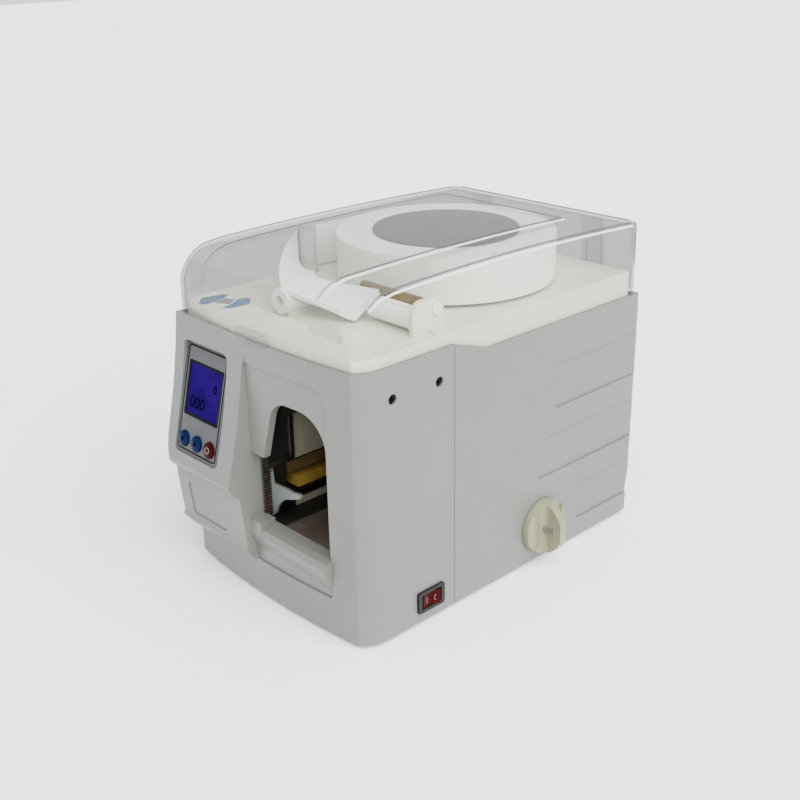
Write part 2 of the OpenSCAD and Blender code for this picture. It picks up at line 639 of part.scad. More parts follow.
module rocker_switch() color([0.75, 0.08, 0.08]) {
    intersection() {
        translate([hw - 2, rocker_y, 0]) rotate([0, 0, -rocker_tilt]) translate([-hw + 2, -rocker_y, 0])
            along_z(rocker_z - rocker_h/2 + 2.8, rocker_z + rocker_h/2 - 2.8)
                translate([hw - 2, rocker_y]) polygon([[-4, -3.5], [-4, 3.5], [2.4, 6.9], [4.6, 6.6], [2.6, 0], [4.6, -6.6], [2.4, -6.9]]);
        box(hw - 12, hw + 8, rocker_y - rocker_w/2 + 3.2, rocker_y + rocker_w/2 - 3.2, 0, 60);
    }
    rod_z(hw - 2, rocker_y, rocker_z - rocker_h/2 + 1.9, rocker_z + rocker_h/2 - 1.9, 1.9);
}

// ------------------------------------------------------------- power parts
module power_inlet() color([0.10, 0.10, 0.10]) difference() {
    union() {
        box(inlet_x - inlet_w/2 + 0.3, inlet_x + inlet_w/2 - 0.3, rear_y - 26, inlet_y + 1,
            inlet_z - inlet_h/2 + 0.3, inlet_z + inlet_h/2 - 0.3);
        along_y(inlet_y, inlet_y + 2) rounded(inlet_x - inlet_w/2 - 2, inlet_x + inlet_w/2 + 2,
                                                inlet_z - inlet_h/2 - 1.5, inlet_z + inlet_h/2 + 1.5, [2, 2, 2, 2]);
    }
    along_y(rear_y - 18, rear_y + 1) polygon([
        [inlet_x - 11, inlet_z - 8], [inlet_x + 11, inlet_z - 8], [inlet_x + 11, inlet_z + 4],
        [inlet_x + 7, inlet_z + 8], [inlet_x - 7, inlet_z + 8], [inlet_x - 11, inlet_z + 4]]);
}
module power_board() color([0.05, 0.35, 0.15]) {
    y = rear_y - 30;
    z = z_bot + 55;
    box(-hw + 29.5, hw - 25.5, y, y + 1.6, z, z_rear - 33.5);
    for (i = [0:2]) box(-50 + i*34, -30 + i*34, y - 12, y, z + 8, z + 26);
    for (i = [0:3]) rod_y(-44 + i*26, y - 14, y, z + 60, 13);
    for (s = [-1, 1]) translate([s*(hw - 33.5), 0, 0]) box(-4, 4, y - 4, y + 3, floor_z, z + 4);
}
iron_y0 = shaft_y + cam_r + cam_lift + 5;
iron_y1 = rear_y - 34;
module transformer() color([0.25, 0.25, 0.27]) {
    box(-68, -26, iron_y0 + 4, iron_y1 - 4, floor_z, floor_z + 36);
    box(-60, -34, iron_y0, iron_y1, floor_z + 8, floor_z + 28);
    box(-74, -20, (iron_y0 + iron_y1)/2 - 5, (iron_y0 + iron_y1)/2 + 5, floor_z, floor_z + 2);
}

// -------------------------------------------------------- roll and guides
roll_x = 0;
roll_y = 34.5;
flange_t = 1;
table_t = 1.2;
table_z = tray_top + flange_t + seat_gap;
roll_z = table_z + table_t;
roll_top = roll_z + tape_w;
hub_t = 1.4;
module spindle() color([0.70, 0.71, 0.72]) {
    rod_z(roll_x, roll_y, tray_top, tray_top + flange_t, 34);
    rod_z(roll_x, roll_y, tray_top, roll_top - 6, spindle_d);
    rod_z(roll_x, roll_y, tray_top - 6, tray_top + 0.5, spindle_d - 2);
}
module turntable() color([0.75, 0.75, 0.72]) difference() {
    union() {
        rod_z(roll_x, roll_y, table_z, roll_z, 104);
        rod_z(roll_x, roll_y, roll_z - 0.5, roll_top - 2, core_d - 1);
    }
    rod_z(roll_x, roll_y, table_z - 1, roll_top, spindle_d + 2*run_gap);
    difference() {
        rod_z(roll_x, roll_y, roll_z + 2, roll_top, core_d - 6);
        rod_z(roll_x, roll_y, roll_z, roll_top, spindle_d + 8);
        for (a = [0:45:315]) translate([roll_x, roll_y, roll_z]) rotate([0, 0, a])
            translate([spindle_d/2 + 2, -1, 0]) cube([core_d/2 - spindle_d/2 - 4, 2, tape_w - 4]);
    }
}
module paper_roll() color([0.93, 0.93, 0.90]) difference() {
    rod_z(roll_x, roll_y, roll_z, roll_top, roll_d);
    rod_z(roll_x, roll_y, roll_z - 1, roll_top + 1, core_d - 0.4);
}
module hub_disc() color([0.40, 0.41, 0.42]) difference() {
    union() {
        rod_z(roll_x, roll_y, roll_top, roll_top + hub_t, hub_d);
        rod_z(roll_x, roll_y, roll_top - 2, roll_top + 0.5, core_d - 7);
    }
    rod_z(roll_x, roll_y, roll_top - 3, roll_top - 1, spindle_d + 8);
}
post_x = -hw + 12.5;
post_y = -25;
sleeve_h = 24;
module guide_post() color([0.45, 0.46, 0.47]) {
    rod_z(post_x, post_y, tray_top, tray_top + 7, sleeve_d + 1.5);
    rod_z(post_x, post_y, tray_top, tray_top + 7 + 2*seat_gap + sleeve_h, 6);
    rod_z(post_x, post_y, tray_top + 7 + 2*seat_gap + sleeve_h, tray_top + 9 + 2*seat_gap + sleeve_h, 9);
}
module guide_sleeve() color([0.62, 0.63, 0.64]) difference() {
    rod_z(post_x, post_y, tray_top + 7 + seat_gap, tray_top + 7 + seat_gap + sleeve_h, sleeve_d);
    rod_z(post_x, post_y, tray_top, tray_top + 60, 6 + 2*run_gap);
}
// The twist guide: a short tube on a foot and a saddle that leads to the roller
tube_x = -13;
tube_z = tray_top + 9.5;
tube_d = 16.4;
tube_y0 = -98.5;
tube_l = 32;
turn_y = -62;
turn_z = tray_top + turn_d/2 + 1.5;
saddle_t = 1.2;
saddle_n = 10;
saddle_x1 = tape_x0 - 2.5;
// Corners of the saddle: tube front, tube back, roller back, roller front
function saddle_at(u, v) =
    (1 - u)*((1 - v)*[tube_x + 2, tube_y0, tube_z + tube_d/2 - 0.6] +
             v*[tube_x + 2, tube_y0 + tube_l, tube_z + tube_d/2 - 0.6]) +
    u*((1 - v)*[saddle_x1, turn_y - 14, tray_top + 2.5] + v*[saddle_x1, turn_y + 7, turn_z + turn_d/2 - 0.5]);
module saddle_skin() {
    n = saddle_n;
    top = [for (i = [0:n], j = [0:n]) saddle_at(i/n, j/n)];
    low = [for (p = top) p - [0, 0, saddle_t]];
    m = (n + 1)*(n + 1);
    function at(i, j) = i*(n + 1) + j;
    polyhedron(concat(top, low), concat(
        [for (i = [0:n - 1], j = [0:n - 1], k = [0, 1]) k == 0
            ? [at(i, j), at(i, j + 1), at(i + 1, j + 1)] : [at(i, j), at(i + 1, j + 1), at(i + 1, j)]],
        [for (i = [0:n - 1], j = [0:n - 1], k = [0, 1]) k == 0
            ? [m + at(i, j), m + at(i + 1, j + 1), m + at(i, j + 1)] : [m + at(i, j), m + at(i + 1, j), m + at(i + 1, j + 1)]],
        [for (i = [0:n - 1], k = [0, 1]) k == 0
            ? [at(i, 0), at(i + 1, 0), m + at(i + 1, 0)] : [at(i, 0), m + at(i + 1, 0), m + at(i, 0)]],
        [for (i = [0:n - 1], k = [0, 1]) k == 0
            ? [at(i, n), m + at(i + 1, n), at(i + 1, n)] : [at(i, n), m + at(i, n), m + at(i + 1, n)]],
        [for (j = [0:n - 1], k = [0, 1]) k == 0
            ? [at(0, j), m + at(0, j + 1), at(0, j + 1)] : [at(0, j), m + at(0, j), m + at(0, j + 1)]],
        [for (j = [0:n - 1], k = [0, 1]) k == 0
            ? [at(n, j), at(n, j + 1), m + at(n, j + 1)] : [at(n, j), m + at(n, j + 1), m + at(n, j)]]));
}
module twist_guide() color([0.93, 0.93, 0.90]) {
    difference() {
        union() {
            rod_y(tube_x, tube_y0, tube_y0 + tube_l, tube_z, tube_d);
            box(tube_x - 4, tube_x + 4, tube_y0 + 4, tube_y0 + tube_l - 4, tray_top, tube_z);
        }
        rod_y(tube_x, tube_y0 - 1, tube_y0 + tube_l + 1, tube_z, 7);
    }
    saddle_skin();
    for (v = [0.25, 0.75]) {
        p = saddle_at(0.86, v);
        box(p[0] - 1.5, p[0] + 1.5, p[1] - 0.7, p[1] + 0.7, tray_top, p[2] - 0.6);
    }
}
ear_x = tape_x0 + turn_l + 2.6;
stay_y = turn_y + 11;
stay_z = turn_z + 5.5;
axle_d = 4;
module ear(x0, x1) difference() {
    along_x(x0, x1) {
        rounded(turn_y - 8, stay_y + 6.5, tray_top, stay_z + 7, [0, 0, 6, 8]);
    }
    rod_x(x0 - 1, x1 + 1, stay_y, stay_z, stay_d - 2);
    rod_x(x0 - 1, x1 + 1, turn_y, turn_z, axle_d);
}
module turn_bracket() color([0.90, 0.90, 0.87]) {
    ear(ear_x, ear_x + 3);
    rod_x(tape_x0 - 0.6, ear_x + 3, turn_y, turn_z, axle_d);
    box(ear_x, ear_x + 8, stay_y - 6, stay_y + 6.5, tray_top, tray_top + 1.5);
}
module turn_roller() color([0.95, 0.95, 0.93]) difference() {
    union() {
        rod_x(tape_x0, tape_x0 + turn_l, turn_y, turn_z, turn_d);
        rod_x(tape_x0 + turn_l, tape_x0 + turn_l + 1.6, turn_y, turn_z, turn_d + 2);
    }
    rod_x(tape_x0 - 1, tape_x0 + turn_l + 3, turn_y, turn_z, axle_d + 2*run_gap);
}
module brass_stay() color([0.70, 0.52, 0.22]) {
    rod_x(tape_x0 - 22, ear_x, stay_y, stay_z, stay_d);
    rod_x(ear_x - 1, ear_x + 3, stay_y, stay_z, stay_d - 2);
}
// The free run of the paper: from the roll to the outer side of the post, and
// down from the turn roller into the tray's slot
strip_t = 0.3;
module ribbon(p, q, z0, z1) {
    d = [q[0] - p[0], q[1] - p[1]];
    l = norm(d);
    translate([p[0], p[1], z0]) rotate([0, 0, atan2(d[1], d[0])]) translate([0, -strip_t/2, 0])
        cube([l, strip_t, z1 - z0]);
}
// It leaves the roll along a tangent
strip_end = [post_x - sleeve_d/2 - 1.2, post_y + 2];
strip_out = strip_end - [roll_x, roll_y];
strip_r = roll_d/2 + 0.6;
strip_a = atan2(strip_out[1], strip_out[0]) - acos(strip_r/norm(strip_out));
module tape_strip() color([0.95, 0.95, 0.93]) {
    ribbon([roll_x + strip_r*cos(strip_a), roll_y + strip_r*sin(strip_a)], strip_end, roll_z, roll_top - 2);
    box(tape_x0 + 1, tape_x0 + 1 + tape_w, tape_y - strip_t/2, tape_y + strip_t/2, feed_z + 9, turn_z);
}

// ------------------------------------------------------------- tape feeder
feed_z = 166;
feed_y = tape_y - strip_t/2 - feed_d/2 - 0.1;
pinch_y = tape_y + strip_t/2 + pinch_d/2 + 0.1;
cheek_x0 = tape_x0 - 3.5;
cheek_x1 = tape_x1 + 1;
module feed_frame() color([0.62, 0.63, 0.64]) difference() {
    union() {
        for (x = [cheek_x0, cheek_x1]) box(x, x + 2, feed_y - 12, pinch_y + 9, feed_z - 11, tray_top - tray_t - seat_gap);
        box(cheek_x0, cheek_x1 + 2, feed_y - 12, feed_y - 10, feed_z - 11, tray_top - tray_t - seat_gap);
    }
    for (x = [cheek_x0, cheek_x1]) {
        rod_x(x - 1, x + 3, feed_y, feed_z, 5 + 2*run_gap);
        rod_x(x - 1, x + 3, pinch_y, feed_z, 4 + 2*run_gap);
    }
}
module feed_roller() color([0.15, 0.15, 0.15]) {
    rod_x(tape_x0, tape_x0 + tape_w + 2, feed_y, feed_z, feed_d);
    rod_x(cheek_x0 - 12, cheek_x1 + 3, feed_y, feed_z, 5);
}
module pinch_roller() color([0.72, 0.73, 0.74]) {
    rod_x(tape_x0, tape_x0 + tape_w + 2, pinch_y, feed_z, pinch_d);
    rod_x(cheek_x0 - 1, cheek_x1 + 3, pinch_y, feed_z, 4);
}
module feed_motor() color([0.20, 0.20, 0.21]) difference() {
    union() {
        rod_x(cheek_x0 - 42, cheek_x0 - 2, feed_y, feed_z, 26);
        rod_x(cheek_x0 - 2.2, cheek_x0, feed_y, feed_z, 12);
        rod_x(cheek_x0 - 48, cheek_x0 - 41, feed_y, feed_z, 10);
    }
    rod_x(cheek_x0 - 14, cheek_x0 + 1, feed_y, feed_z, 5 + 2*run_gap);
}

// --------------------------------------------------------- slot and head
liner_y0 = bay_wall_y + 0.3;
liner_y1 = bay_y + slot_depth;
head_x = bay_x0 + 1;                  // right face of the head frame
module slot_liner() color([0.20, 0.19, 0.19]) difference() {
    along_y(liner_y0, liner_y1 + liner_t) slot_outline(liner_t + 0.6);
    along_y(liner_y0 - 1, liner_y1) slot_outline(0.6);
    box(bay_x0 - 20, slot_x0 + 3, liner_y0 - 1, liner_y1, sill_z - 5, slot_top - 16);
    box(bay_x0 - 20, head_x + 1.5, liner_y1 - 1, liner_y1 + 10, 0, slot_top);
    box(bay_x0 - 20, bay_x1 + 20, liner_y0 - 1, liner_y1 + 10, 0, sill_z - 0.3);
    along_y(tape_y - 17, tape_y + 17) slot_outline(0.6 + liner_t/2);
}
module note_table() color([0.60, 0.60, 0.61])
    box(head_x + 0.3, slot_x1 + liner_t, liner_y0, liner_y1 + liner_t, sill_z - 2.3, sill_z - 0.3);
// The white nose keeps the notes' edges off the jaws
nose_y = liner_y0 + 3;
module nose_plate() color([0.93, 0.93, 0.90]) {
    along_y(nose_y, nose_y + 2) difference() {
        polygon([[head_x - 2.5, sill_z + 40], [head_x + 0.5, sill_z + 40], [head_x + 3, sill_z + 24],
                 [head_x + 31, sill_z + 25.5], [head_x + 32, sill_z + 24], [head_x + 30.5, sill_z + 22.5],
                 [head_x + 20, sill_z + 18], [head_x + 1.5, sill_z], [head_x - 2.5, sill_z]]);
        translate([head_x + 21.5, sill_z + 44.5]) circle(20);
        translate([head_x + 27, sill_z - 4]) circle(23.5);
    }
    box(head_x - plate_t - 1.5, head_x - plate_t, nose_y, nose_y + 12, sill_z, sill_z + 30);
    box(head_x - plate_t - 1.5, head_x - 0.5, nose_y, nose_y + 2, sill_z, sill_z + 30);
}
window_y0 = -101;
window_y1 = -39;
window_z0 = sill_z + 5;
window_z1 = sill_z + 34;
module head_frame() color([0.58, 0.58, 0.59]) difference() {
    union() {
        box(head_x - plate_t, head_x, nose_y + 2.3, frame_y1, floor_z, sill_z + 65);
        box(head_x - plate_t, head_x, nose_y + 2.3, window_y1 + 9, sill_z + 45, slot_top - 1);
        box(head_x - plate_t - 8, head_x, 16, 58, floor_z, floor_z + plate_t);
    }
    box(head_x - 5, head_x + 5, window_y0, window_y1, window_z0, window_z1);
    rod_x(head_x - 5, head_x + 5, shaft_y, shaft_z, shaft_d + 4);
    for (y = rod_ys) rod_x(head_x - 5, head_x + 5, y, rod_z0, 5);
}
rod_ys = [window_y0 + 7, window_y1 - 7];
rod_z0 = window_z0 - 8;
left_x = -hw + 8;
right_x = hw - 15;
frame_y1 = rear_y - 44;
frame_z1 = slot_low_z;

module left_frame() color([0.58, 0.58, 0.59]) difference() {
    union() {
        box(left_x, left_x + plate_t, window_y0 - 3, frame_y1, floor_z, frame_z1);
        box(left_x, left_x + 12, 20, 60, floor_z, floor_z + plate_t);
    }
    rod_x(left_x - 1, left_x + 5, shaft_y, shaft_z, shaft_d + 4);
    for (y = rod_ys) rod_x(left_x - 1, left_x + 5, y, rod_z0, 5);
}
module right_frame() color([0.58, 0.58, 0.59]) difference() {
    union() {
        box(right_x, right_x + plate_t, -12, frame_y1, floor_z, frame_z1);
        box(right_x - 10, right_x + plate_t, -12, 20, floor_z, floor_z + plate_t);
    }
    rod_x(right_x - 1, right_x + 5, shaft_y, shaft_z, shaft_d + 4);
}
// Fixed plates of the head: a bright sheet above the jaws, a dark pad and a
// lower guide below them
module head_plates() color([0.55, 0.52, 0.50]) {
    box(head_x, head_x + 1.2, nose_y + 2.5, liner_y1 - 1, window_z1 + 0.5, slot_low_z + 30);
    box(head_x, head_x + 1.2, nose_y + 2.5, liner_y1 - 1, sill_z, window_z0 - 0.5);
}
module guide_rods() color([0.72, 0.73, 0.74])
    for (y = rod_ys) rod_x(left_x, head_x, y, rod_z0, 5);
// Each slide hangs on the two rods: a bar, two posts and a jaw that reaches
// the window. The jaws get shorter from the press block to the knife, so that
// each passes between the posts of the slide before it.
post_w = 4;
module yoke(x, jaw_z0, jaw_z1, inset, reach) difference() {
    union() {
        box(x, x + 6, rod_ys[0] - 5, rod_ys[1] + 5, rod_z0 - 5, rod_z0 + 5);
        for (y = [window_y0 + inset, window_y1 - inset - post_w]) box(x, x + 6, y, y + post_w, rod_z0, jaw_z1);
        box(x, reach, window_y0 + inset, window_y1 - inset, jaw_z0, jaw_z1);
    }
    for (y = rod_ys) rod_x(x - 1, x + 7, y, rod_z0, 5 + 2*run_gap);
}
press_x = head_x - 26;
module press_block() color([0.36, 0.24, 0.16]) {
    yoke(press_x, sill_z + 25, sill_z + 33, 2, head_x + 0.8);
    box(press_x, press_x + 6, rod_ys[1] + 4, rod_ys[1] + 10, rod_z0 - 3, rod_z0 + 5);
}
module heater_bar() color([0.72, 0.53, 0.22])
    yoke(press_x - 16, sill_z + 14, sill_z + 22, 2 + post_w + 1, head_x + 3.4);
module knife_blade() color([0.75, 0.76, 0.78])
    yoke(press_x - 32, sill_z + 8.5, sill_z + 10.5, 2 + 2*post_w + 2, head_x - 1);
lobe_r = 6;
cam_xs = [head_x - 54, head_x - 38, head_x - 22];
// A bell crank turns a push from the cam into the press block's stroke
module bar_2d(p, q, w) {
    d = q - p;
    translate(p) rotate(atan2(d[1], d[0])) translate([0, -w/2]) square([norm(d), w]);
    translate(p) circle(d = w);
    translate(q) circle(d = w);
}
lever_z = rod_z0 - 3;
lever_y = -14;
lever_x = press_x + 3;
lever_pin_d = 6;
tip_d = 8;
tip = [press_x - seat_gap - tip_d/2, rod_ys[1] + 8];
cam_gap = 0.5;
follower = [cam_xs[1] + 3, shaft_y - cam_r - cam_lift - cam_gap - 3];
module press_lever() color([0.55, 0.56, 0.58]) difference() {
    union() {
        along_z(lever_z, lever_z + 5) {
            translate([lever_x, lever_y]) circle(7);
            bar_2d([lever_x, lever_y], tip, 6);
            translate(tip) circle(d = tip_d);
            bar_2d([lever_x, lever_y], follower, 8);
        }
        rod_z(follower[0], follower[1], shaft_z - 6, lever_z + 1, 6);
    }
    rod_z(lever_x, lever_y, lever_z - 1, lever_z + 6, lever_pin_d + 2*run_gap);
}
module lever_pin() color([0.72, 0.73, 0.74]) {
    rod_z(lever_x, lever_y, lever_z - 5, lever_z + 7, lever_pin_d);
    box(left_x + plate_t, head_x - plate_t, lever_y - 6, lever_y + 6, lever_z - 5.3, lever_z - 0.3);
}

// --------------------------------------------------------------- main drive
module main_shaft() color([0.72, 0.73, 0.74])
    rod_x(left_x, knob_x + knob_l - 6, shaft_y, shaft_z, shaft_d);
module shaft_bushes() color([0.62, 0.45, 0.20])
    for (x = [left_x, head_x - plate_t, right_x]) difference() {
        union() {
            rod_x(x, x + plate_t, shaft_y, shaft_z, shaft_d + 4);
            rod_x(x + plate_t, x + plate_t + 1.2, shaft_y, shaft_z, shaft_d + 7);
        }
        rod_x(x - 1, x + plate_t + 2, shaft_y, shaft_z, shaft_d + 2*run_gap);
    }
module cam(x, a) translate([x, shaft_y, shaft_z]) rotate([a, 0, 0]) rotate([90, 0, 90]) difference() {
    linear_extrude(6) union() {
        circle(cam_r);
        translate([cam_r + cam_lift - lobe_r, 0]) circle(lobe_r);
        k = (cam_r - lobe_r)/(cam_r + cam_lift - lobe_r);
        s = sqrt(1 - k*k);
        polygon([[cam_r*k, cam_r*s], [cam_r + cam_lift - lobe_r + lobe_r*k, lobe_r*s],
                 [cam_r + cam_lift - lobe_r + lobe_r*k, -lobe_r*s], [cam_r*k, -cam_r*s]]);
    }
    translate([0, 0, -1]) cylinder(h = 8, d = shaft_d);
}
module cams() color([0.50, 0.51, 0.53]) for (i = [0:2]) cam(cam_xs[i], 40 + i*115);

// Involute gear outline, thinned a little for backlash
pressure = 20;
function inv_deg(r, rb) = let(a = acos(min(rb/r, 1))) tan(a)*180/PI - a;
function tooth_side(r, rp, rb, half) = half + inv_deg(rp, rb) - inv_deg(max(r, rb), rb);
module gear_2d(n) {
    rp = gear_m*n/2;
    rb = rp*cos(pressure);
    ra = rp + gear_m*0.95;
    rf = rp - gear_m*1.25;
    half = 90/n*0.93;
    rs = [max(rf, rb), (max(rf, rb) + rp)/2, rp, ra];
    polygon([for (i = [0:n - 1]) each concat(
        [let(a = 360*i/n - 180/n) [rf*cos(a), rf*sin(a)]],
        [let(a = 360*i/n - tooth_side(rs[0], rp, rb, half)) [rf*cos(a), rf*sin(a)]],
        [for (k = [0:3]) let(a = 360*i/n - tooth_side(rs[k], rp, rb, half)) [rs[k]*cos(a), rs[k]*sin(a)]],
        [for (k = [3:-1:0]) let(a = 360*i/n + tooth_side(rs[k], rp, rb, half)) [rs[k]*cos(a), rs[k]*sin(a)]],
        [let(a = 360*i/n + tooth_side(rs[0], rp, rb, half)) [rf*cos(a), rf*sin(a)]])]);
}
gear_x = 20;
gear_c = gear_m*(gear_teeth + pinion_teeth)/2;
module drive_gear() color([0.85, 0.84, 0.78])
    along_x(gear_x, gear_x + gear_w) translate([shaft_y, shaft_z]) difference() {
        gear_2d(gear_teeth);
        circle(d = shaft_d);
    }
module motor_pinion() color([0.62, 0.45, 0.20]) {
    along_x(gear_x - 0.5, gear_x + gear_w + 0.5) translate([shaft_y + gear_c, shaft_z])
        rotate(180 + 180/pinion_teeth) gear_2d(pinion_teeth);
    rod_x(gear_x + gear_w, gear_x + gear_w + 12, shaft_y + gear_c, shaft_z, 6);
}
motor_x0 = gear_x + gear_w + 2;
module gear_motor() color([0.30, 0.31, 0.33]) difference() {
    union() {
        rod_x(motor_x0, motor_x0 + 14, shaft_y + gear_c, shaft_z, motor_d);
        rod_x(motor_x0 + 13, right_x, shaft_y + gear_c, shaft_z, motor_d - 4);
    }
    rod_x(motor_x0 - 1, motor_x0 + 12, shaft_y + gear_c, shaft_z, 6 + 2*run_gap);
}
// The hand knob: a round skirt and a dome, fluted on both sides down to a
// vertical grip
grip_w = 6;
flute_r = 5;
module flutes_2d() for (s = [-1, 1]) {
    for (k = [0, 1]) translate([4 + flute_r, s*(grip_w/2 + flute_r + k*(2*flute_r - 0.6))]) circle(flute_r);
    translate([4 + flute_r, s > 0 ? grip_w/2 : -knob_d]) square([knob_l, knob_d - grip_w/2]);
}
module knob() color([0.88, 0.86, 0.72]) difference() {
    union() {
        rod_x(knob_x, knob_x + 3, shaft_y, shaft_z, knob_d);
        translate([knob_x, shaft_y, shaft_z]) rotate([0, 90, 0]) rotate_extrude() intersection() {
            translate([0, 0.6]) circle(knob_d/2 + 0.15, $fn = 96);
            translate([0, 2]) square([knob_d, knob_l - 2]);
        }
    }
    translate([knob_x, shaft_y, 0]) along_z(shaft_z - knob_d, shaft_z + knob_d) flutes_2d();
    rod_x(knob_x - 1, knob_x + knob_l - 6, shaft_y, shaft_z, shaft_d);
}
module bundle_sensor() color([0.10, 0.10, 0.10]) {
    box(slot_x0 + 6, slot_x0 + 18, liner_y1 + liner_t, liner_y1 + liner_t + 8, sill_z + 20, sill_z + 34);
}

at_origin() base_plate();
at_origin() rubber_feet();
at_origin() front_cover();
at_origin() rear_cover();
at_origin() side_screws();
at_origin() top_tray();
at_origin() clear_cover();
at_origin() finger_tab();
at_origin() hinge_brackets();
at_origin() hinge_pins();
at_origin() panel_label();
at_origin() lcd_display();
at_origin() control_board();
at_origin() button_down();
at_origin() button_up();
at_origin() button_reset();
at_origin() rocker_frame();
at_origin() rocker_switch();
at_origin() power_inlet();
at_origin() power_board();
at_origin() transformer();
at_origin() spindle();
at_origin() turntable();
at_origin() paper_roll();
at_origin() hub_disc();
at_origin() guide_post();
at_origin() guide_sleeve();
at_origin() twist_guide();
at_origin() turn_bracket();
at_origin() turn_roller();
at_origin() brass_stay();
at_origin() tape_strip();
at_origin() feed_frame();
at_origin() feed_roller();
at_origin() pinch_roller();
at_origin() feed_motor();
at_origin() slot_liner();
at_origin() note_table();
at_origin() nose_plate();
at_origin() head_frame();
at_origin() left_frame();
at_origin() right_frame();
at_origin() head_plates();
at_origin() guide_rods();
at_origin() press_block();
at_origin() heater_bar();
at_origin() knife_blade();
at_origin() press_lever();
at_origin() lever_pin();
at_origin() main_shaft();
at_origin() shaft_bushes();
at_origin() cams();
at_origin() drive_gear();
at_origin() motor_pinion();
at_origin() gear_motor();
at_origin() knob();
at_origin() bundle_sensor();
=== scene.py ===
# %% [markdown]
# # A banknote strapping machine
# The machine stands on a counter. A bundle of notes goes into the arched slot
# in its front, and a 30 mm paper tape is drawn round it from the roll that
# lies under the clear cover. The solids come from the CAD file and are never
# moved here: this lesson gives them their finishes, and adds the printed
# marks, the running tape and the small things that only the eye needs.

# %% Load the machine
import bpy
from math import acos, atan2, cos, radians, sin
from mathutils import Matrix, Vector


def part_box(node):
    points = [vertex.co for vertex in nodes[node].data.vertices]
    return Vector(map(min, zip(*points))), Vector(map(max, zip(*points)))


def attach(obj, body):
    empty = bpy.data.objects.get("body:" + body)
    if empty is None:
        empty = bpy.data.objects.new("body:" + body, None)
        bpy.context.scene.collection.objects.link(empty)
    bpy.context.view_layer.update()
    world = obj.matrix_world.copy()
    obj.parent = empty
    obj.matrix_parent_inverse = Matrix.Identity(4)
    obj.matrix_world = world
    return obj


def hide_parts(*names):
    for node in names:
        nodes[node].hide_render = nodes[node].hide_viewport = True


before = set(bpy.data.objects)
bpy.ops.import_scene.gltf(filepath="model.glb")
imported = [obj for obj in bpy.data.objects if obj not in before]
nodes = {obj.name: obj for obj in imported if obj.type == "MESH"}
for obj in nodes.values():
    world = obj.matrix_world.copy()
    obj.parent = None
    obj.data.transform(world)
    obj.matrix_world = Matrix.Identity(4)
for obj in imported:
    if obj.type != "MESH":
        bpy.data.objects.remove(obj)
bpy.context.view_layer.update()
MM = 0.001

# %% [markdown]
# ## Where the housing stands
# The origin lies under the middle of the machine's bounding box, knob and pod
# included. It is easier to think in millimetres from the middle of the housing
# and from the line behind the seam where the covers meet, so the offset of
# that line is read from the rear cover's box. The spindle's foot stands a few
# millimetres deep in the tray, which gives the height of the tray's top.

# %% Middle of the housing
REAR_LENGTH = 142.0
SPINDLE_DEPTH = 6.0


def middle_of(low, high):
    return (low + high) / 2 / MM


shell_low, shell_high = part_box("rear_cover")
HALF_W = (shell_high[0] - shell_low[0]) / 2 / MM
OX = middle_of(shell_low, shell_high).x
OY = shell_high[1] / MM - REAR_LENGTH
COVER_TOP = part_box("clear_cover")[1][2] / MM
TRAY_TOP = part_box("spindle")[0][2] / MM + SPINDLE_DEPTH
print("housing middle", round(OX, 2), round(OY, 2), "half width", round(HALF_W, 2))
print("cover top", round(COVER_TOP, 2), "tray top", round(TRAY_TOP, 2))

# %% [markdown]
# ## The camera
# The photograph was taken from the front right and a little above. Lines that
# run along the width and the depth of the housing gave the direction, and the
# convergence of its upright edges gave the distance. The camera is written
# down as a place, two angles and a slight roll, because these are the numbers
# that a photographer would know.

# %% Place the camera
CAMERA_PLACE = (0.5211, -0.5040, 0.4140)
AZIMUTH, ELEVATION, ROLL = radians(46.99), radians(22.76), radians(-1.06)
FOCAL_PIXELS, PICTURE_PIXELS = 1147.95, 800
SENSOR = 36.0


def camera_turn():
    level = Vector((cos(AZIMUTH), sin(AZIMUTH), 0.0))
    inwards = Vector((-sin(AZIMUTH), cos(AZIMUTH), 0.0))
    ahead = inwards * cos(ELEVATION) - Vector((0.0, 0.0, sin(ELEVATION)))
    upright = level.cross(ahead)
    right = level * cos(ROLL) + upright * sin(ROLL)
    up = upright * cos(ROLL) - level * sin(ROLL)
    return Matrix((right, up, -ahead)).transposed()


lens = bpy.data.cameras.new("photo_camera")
lens.sensor_width = SENSOR
lens.lens = FOCAL_PIXELS / PICTURE_PIXELS * SENSOR
lens.clip_start = 0.01
camera = bpy.data.objects.new("photo_camera", lens)
bpy.context.scene.collection.objects.link(camera)
camera.matrix_world = Matrix.Translation(CAMERA_PLACE) @ camera_turn().to_4x4()
bpy.context.scene.camera = camera
print("lens", round(lens.lens, 2), "mm")

# %% [markdown]
# ## Floor and light
# A white table under a very wide, very soft lamp. The lamp stands high on the
# right, so the tray and the right side are bright and the front falls a little
# darker, as in the photograph. A small box beside the camera looks into the
# slot. The world is white, so no corner is ever black, and the clear cover has
# something pale to reflect.

# %% Set up the floor and the light
FLOOR_SIZE = 12
bpy.ops.mesh.primitive_plane_add(size=FLOOR_SIZE, location=(0, 0, 0))
floor = bpy.context.object
floor.name = "studio_floor"

WORLD_LIGHT = 1.45
world = bpy.data.worlds.new("pale_room")
world.use_nodes = True
background = world.node_tree.nodes["Background"]
background.inputs["Color"].default_value = (1.0, 1.0, 1.0, 1.0)
background.inputs["Strength"].default_value = WORLD_LIGHT
bpy.context.scene.world = world


def add_lamp(name, kind, power, towards_lamp, place=(0.0, 0.0, 0.0)):
    lamp = bpy.data.lights.new(name, kind)
    lamp.energy = power
    holder = bpy.data.objects.new(name, lamp)
    bpy.context.scene.collection.objects.link(holder)
    holder.location = place
    holder.rotation_euler = towards_lamp.to_track_quat("Z", "Y").to_euler()
    return lamp


